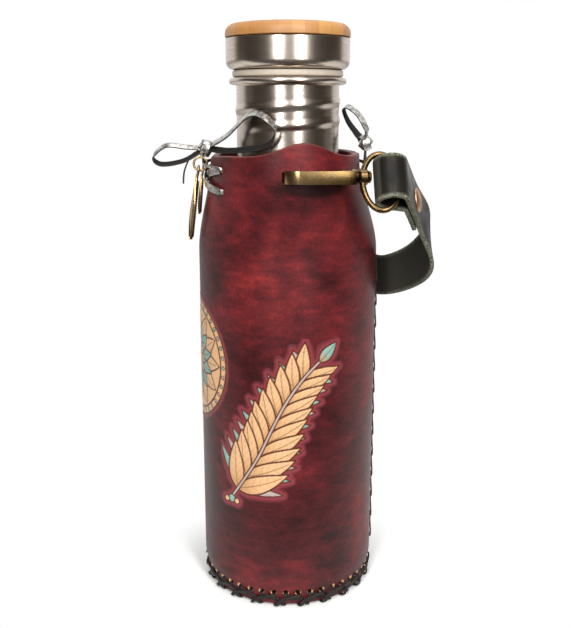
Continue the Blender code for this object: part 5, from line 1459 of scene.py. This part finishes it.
def make_lid():
    """The seal on the rim, the spun steel shell over it and the bamboo disc on top."""
    foot = RIM_TOP + GAP
    top = foot + SEAL_THICKNESS
    hole = PLUG_RADIUS + SEAL_CLEARANCE
    profile = [(hole, foot)] + arc(SEAL_RADIUS - SEAL_LIP, foot + SEAL_LIP, SEAL_LIP, -90.0, 0.0, 4)
    profile += arc(SEAL_RADIUS - SEAL_LIP, top - SEAL_LIP, SEAL_LIP, 0.0, 90.0, 4) + [(hole, top)]
    make_turned("silicone_seal", profile, 128, "silicone", "seal", "lid_seal")
    foot = top + GAP
    top = foot + LID_HEIGHT
    bend = LID_RADIUS - LID_CORNER
    profile = [(bend, foot)] + arc(bend, foot + LID_CORNER, LID_CORNER, -90.0, 0.0, 16)
    profile += [(LID_RADIUS, top - LID_EDGE), (LID_RADIUS - LID_EDGE, top), (0.0, top), (0.0, top - LID_WALL),
                (LID_RADIUS - LID_WALL, top - LID_WALL)]
    profile += arc(bend, foot + LID_CORNER, LID_CORNER - LID_WALL, 0.0, -60.0, 6)
    make_turned("steel_lid_shell", profile, 144, "steel", "lid", "lid_shell")
    foot = top + GAP
    crown = foot + BAMBOO_THICKNESS
    profile = [(0.0, foot), (BAMBOO_RADIUS - LID_EDGE, foot), (BAMBOO_RADIUS, foot + LID_EDGE)]
    profile += arc(BAMBOO_RADIUS - BAMBOO_CORNER, crown - BAMBOO_CORNER, BAMBOO_CORNER, 0.0, 90.0, 16)
    make_turned("bamboo_lid_top", profile + [(0.0, crown)], 144, "bamboo", "lid", "lid_bamboo_top")


def dress(node, surface):
    """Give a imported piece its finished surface."""
    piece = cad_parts[node]
    piece.data.materials.clear()
    piece.data.materials.append(SURFACES[surface])


# Stage

OBJECT_MIDDLE = Vector((0.0, 0.0, 0.12))
LAMP_DISTANCE = 1.30
# Name, azimuth from +X and elevation in degrees, width, height, watts
LAMPS = (("left soft box", -19.5, 30.0, 0.22, 1.30, 15.0),
         ("right soft box", 20.5, 30.0, 0.23, 1.30, 17.0),
         ("overhead", 150.0, 80.0, 0.60, 0.60, 4.0))
ROOM_DARK = linear("40392f")
FRONT_LIGHT = linear("b4b4b4")
BACK_LIGHT = linear("8e8e8e")
CAMERA_LENS = 50.09
CAMERA_PLACE = Vector((0.39226, -0.02054, 0.2228))
CAMERA_HEADING = 177.146
CAMERA_PITCH = 13.636


def direction(azimuth, elevation):
    turn, rise = math.radians(azimuth), math.radians(elevation)
    return Vector((math.cos(turn) * math.cos(rise), math.sin(turn) * math.cos(rise), math.sin(rise)))


def aim(made, place, look):
    """Place an object so that its -Z looks along a direction."""
    made.matrix_world = Matrix.Translation(place) @ look.to_track_quat('-Z', 'Y').to_matrix().to_4x4()


def make_floor():
    bm = bmesh.new()
    bmesh.ops.create_grid(bm, x_segments=1, y_segments=1, size=4.0)
    build("pale floor", bm, "floor")


def make_lights():
    """Two tall soft boxes on the viewer's side, a soft one above and a white backdrop."""
    for name, azimuth, elevation, width, height, power in LAMPS:
        light = bpy.data.lights.new(name, 'AREA')
        light.shape = 'RECTANGLE'
        light.size = width
        light.size_y = height
        light.energy = power
        made = place_object(name, light)
        away = direction(azimuth, elevation)
        aim(made, OBJECT_MIDDLE + away * LAMP_DISTANCE, -away)
    world = bpy.data.worlds.new("white room")
    bpy.context.scene.world = world
    world.use_nodes = True
    tree = world.node_tree
    tree.nodes.clear()
    path = add(tree, "ShaderNodeLightPath")
    way = add(tree, "ShaderNodeSeparateXYZ", {"Vector": (add(tree, "ShaderNodeTexCoord"), "Generated")})
    behind = remap(tree, (way, "X"), -0.30, -0.52, course='SMOOTHSTEP')
    above = remap(tree, (way, "Z"), 0.45, 0.95, 0.0, 0.8)
    mirrored = blend(tree, calc(tree, 'MAXIMUM', behind, above), ROOM_DARK, WHITE)
    shiny = calc(tree, 'MAXIMUM', (path, "Is Glossy Ray"), (path, "Is Transmission Ray"))
    lit = blend(tree, remap(tree, (way, "X"), -0.6, 0.6), BACK_LIGHT, FRONT_LIGHT)
    colour = blend(tree, (path, "Is Camera Ray"), blend(tree, shiny, lit, mirrored), WHITE)
    light = add(tree, "ShaderNodeBackground", {"Color": colour, "Strength": 1.0})
    add(tree, "ShaderNodeOutputWorld", {"Surface": (light, "Background")})


def make_camera():
    """The photograph's view: level with the lid, looking down at the case from its near-hook side."""
    data = bpy.data.cameras.new("camera")
    data.lens = CAMERA_LENS
    data.clip_start = 0.01
    camera = place_object("camera", data)
    aim(camera, CAMERA_PLACE, direction(CAMERA_HEADING, -CAMERA_PITCH))
    bpy.context.scene.camera = camera
    bpy.context.scene.view_settings.view_transform = 'Standard'


# Name, canvas, angle of its middle in degrees and height of its middle
PAINTINGS = (("painted_branch", branch_canvas, 83.5, 0.0855), ("painted_rosette", rosette_canvas, 6.0, 0.110))
# Name, centre, node, then the lean in degrees, the size against the core and the width of each turn of lace
KNOTS = (("front_knot_wraps", FRONT_KNOT, "front_bow_knot", ((-55.0, 1.02, 0.0032), (10.0, 1.20, 0.0036))),
         ("back_knot_wraps", BACK_KNOT, "back_bow_knot", ((40.0, 1.00, 0.0032), (-25.0, 1.15, 0.0036))))
# Name and node, knot, route, the way its width lies, whether it comes back to the knot
BOW_PIECES = (("front_bow_near_loop", FRONT_KNOT, NEAR_LOOP_ROUTE, (0.80, -0.10, -0.58), True),
              ("front_bow_far_loop", FRONT_KNOT, FAR_LOOP_ROUTE, (0.85, 0.0, -0.50), True),
              ("front_bow_tail", FRONT_KNOT, FRONT_TAIL_ROUTE, (1.0, 0.0, 0.0), False),
              ("back_bow_loop", BACK_KNOT, BACK_LOOP_ROUTE, (0.80, -0.45, -0.35), True))
# Name, shift along the ring, lean in degrees, length, width, thickness, body, node
CHARMS = (("leaf_pendant", -CHARM_SPREAD, 7.0, 0.0305, 0.0085, 0.0011, "pendant", "charm_pendant"),
          ("small_leaf_charm", CHARM_SPREAD, 5.0, 0.0190, 0.0042, 0.0008, "small_charm", "charm_small"))

make_wrap()
for title, ornament, middle_at, height_at in PAINTINGS:
    make_painting(title, ornament(), math.radians(middle_at), height_at)
make_base_lacing()
make_seam_lacing()
make_mouth_lacing("front_lacing", 0.0, FRONT_HOLE_ANGLE, FRONT_KNOT)
make_mouth_lacing("back_lacing", math.pi, math.pi - BACK_HOLE_ANGLE, BACK_KNOT)
for knot_piece in KNOTS:
    make_knot(*knot_piece)
for bow_piece in BOW_PIECES:
    make_bow_piece(*bow_piece)
for hook_side in ("near", "far"):
    make_hook(hook_side)
    make_ring(hook_side)
    make_rivet(hook_side)
    make_gate(hook_side)
    dress(hook_side + "_gate_pin", "brass")
make_strap()
make_jump_ring()
for charm_piece in CHARMS:
    make_charm(*charm_piece)
make_bottle()
make_lid()
dress("base_disc", "leather")
dress("lid_plug", "plastic")
make_floor()
make_lights()
make_camera()
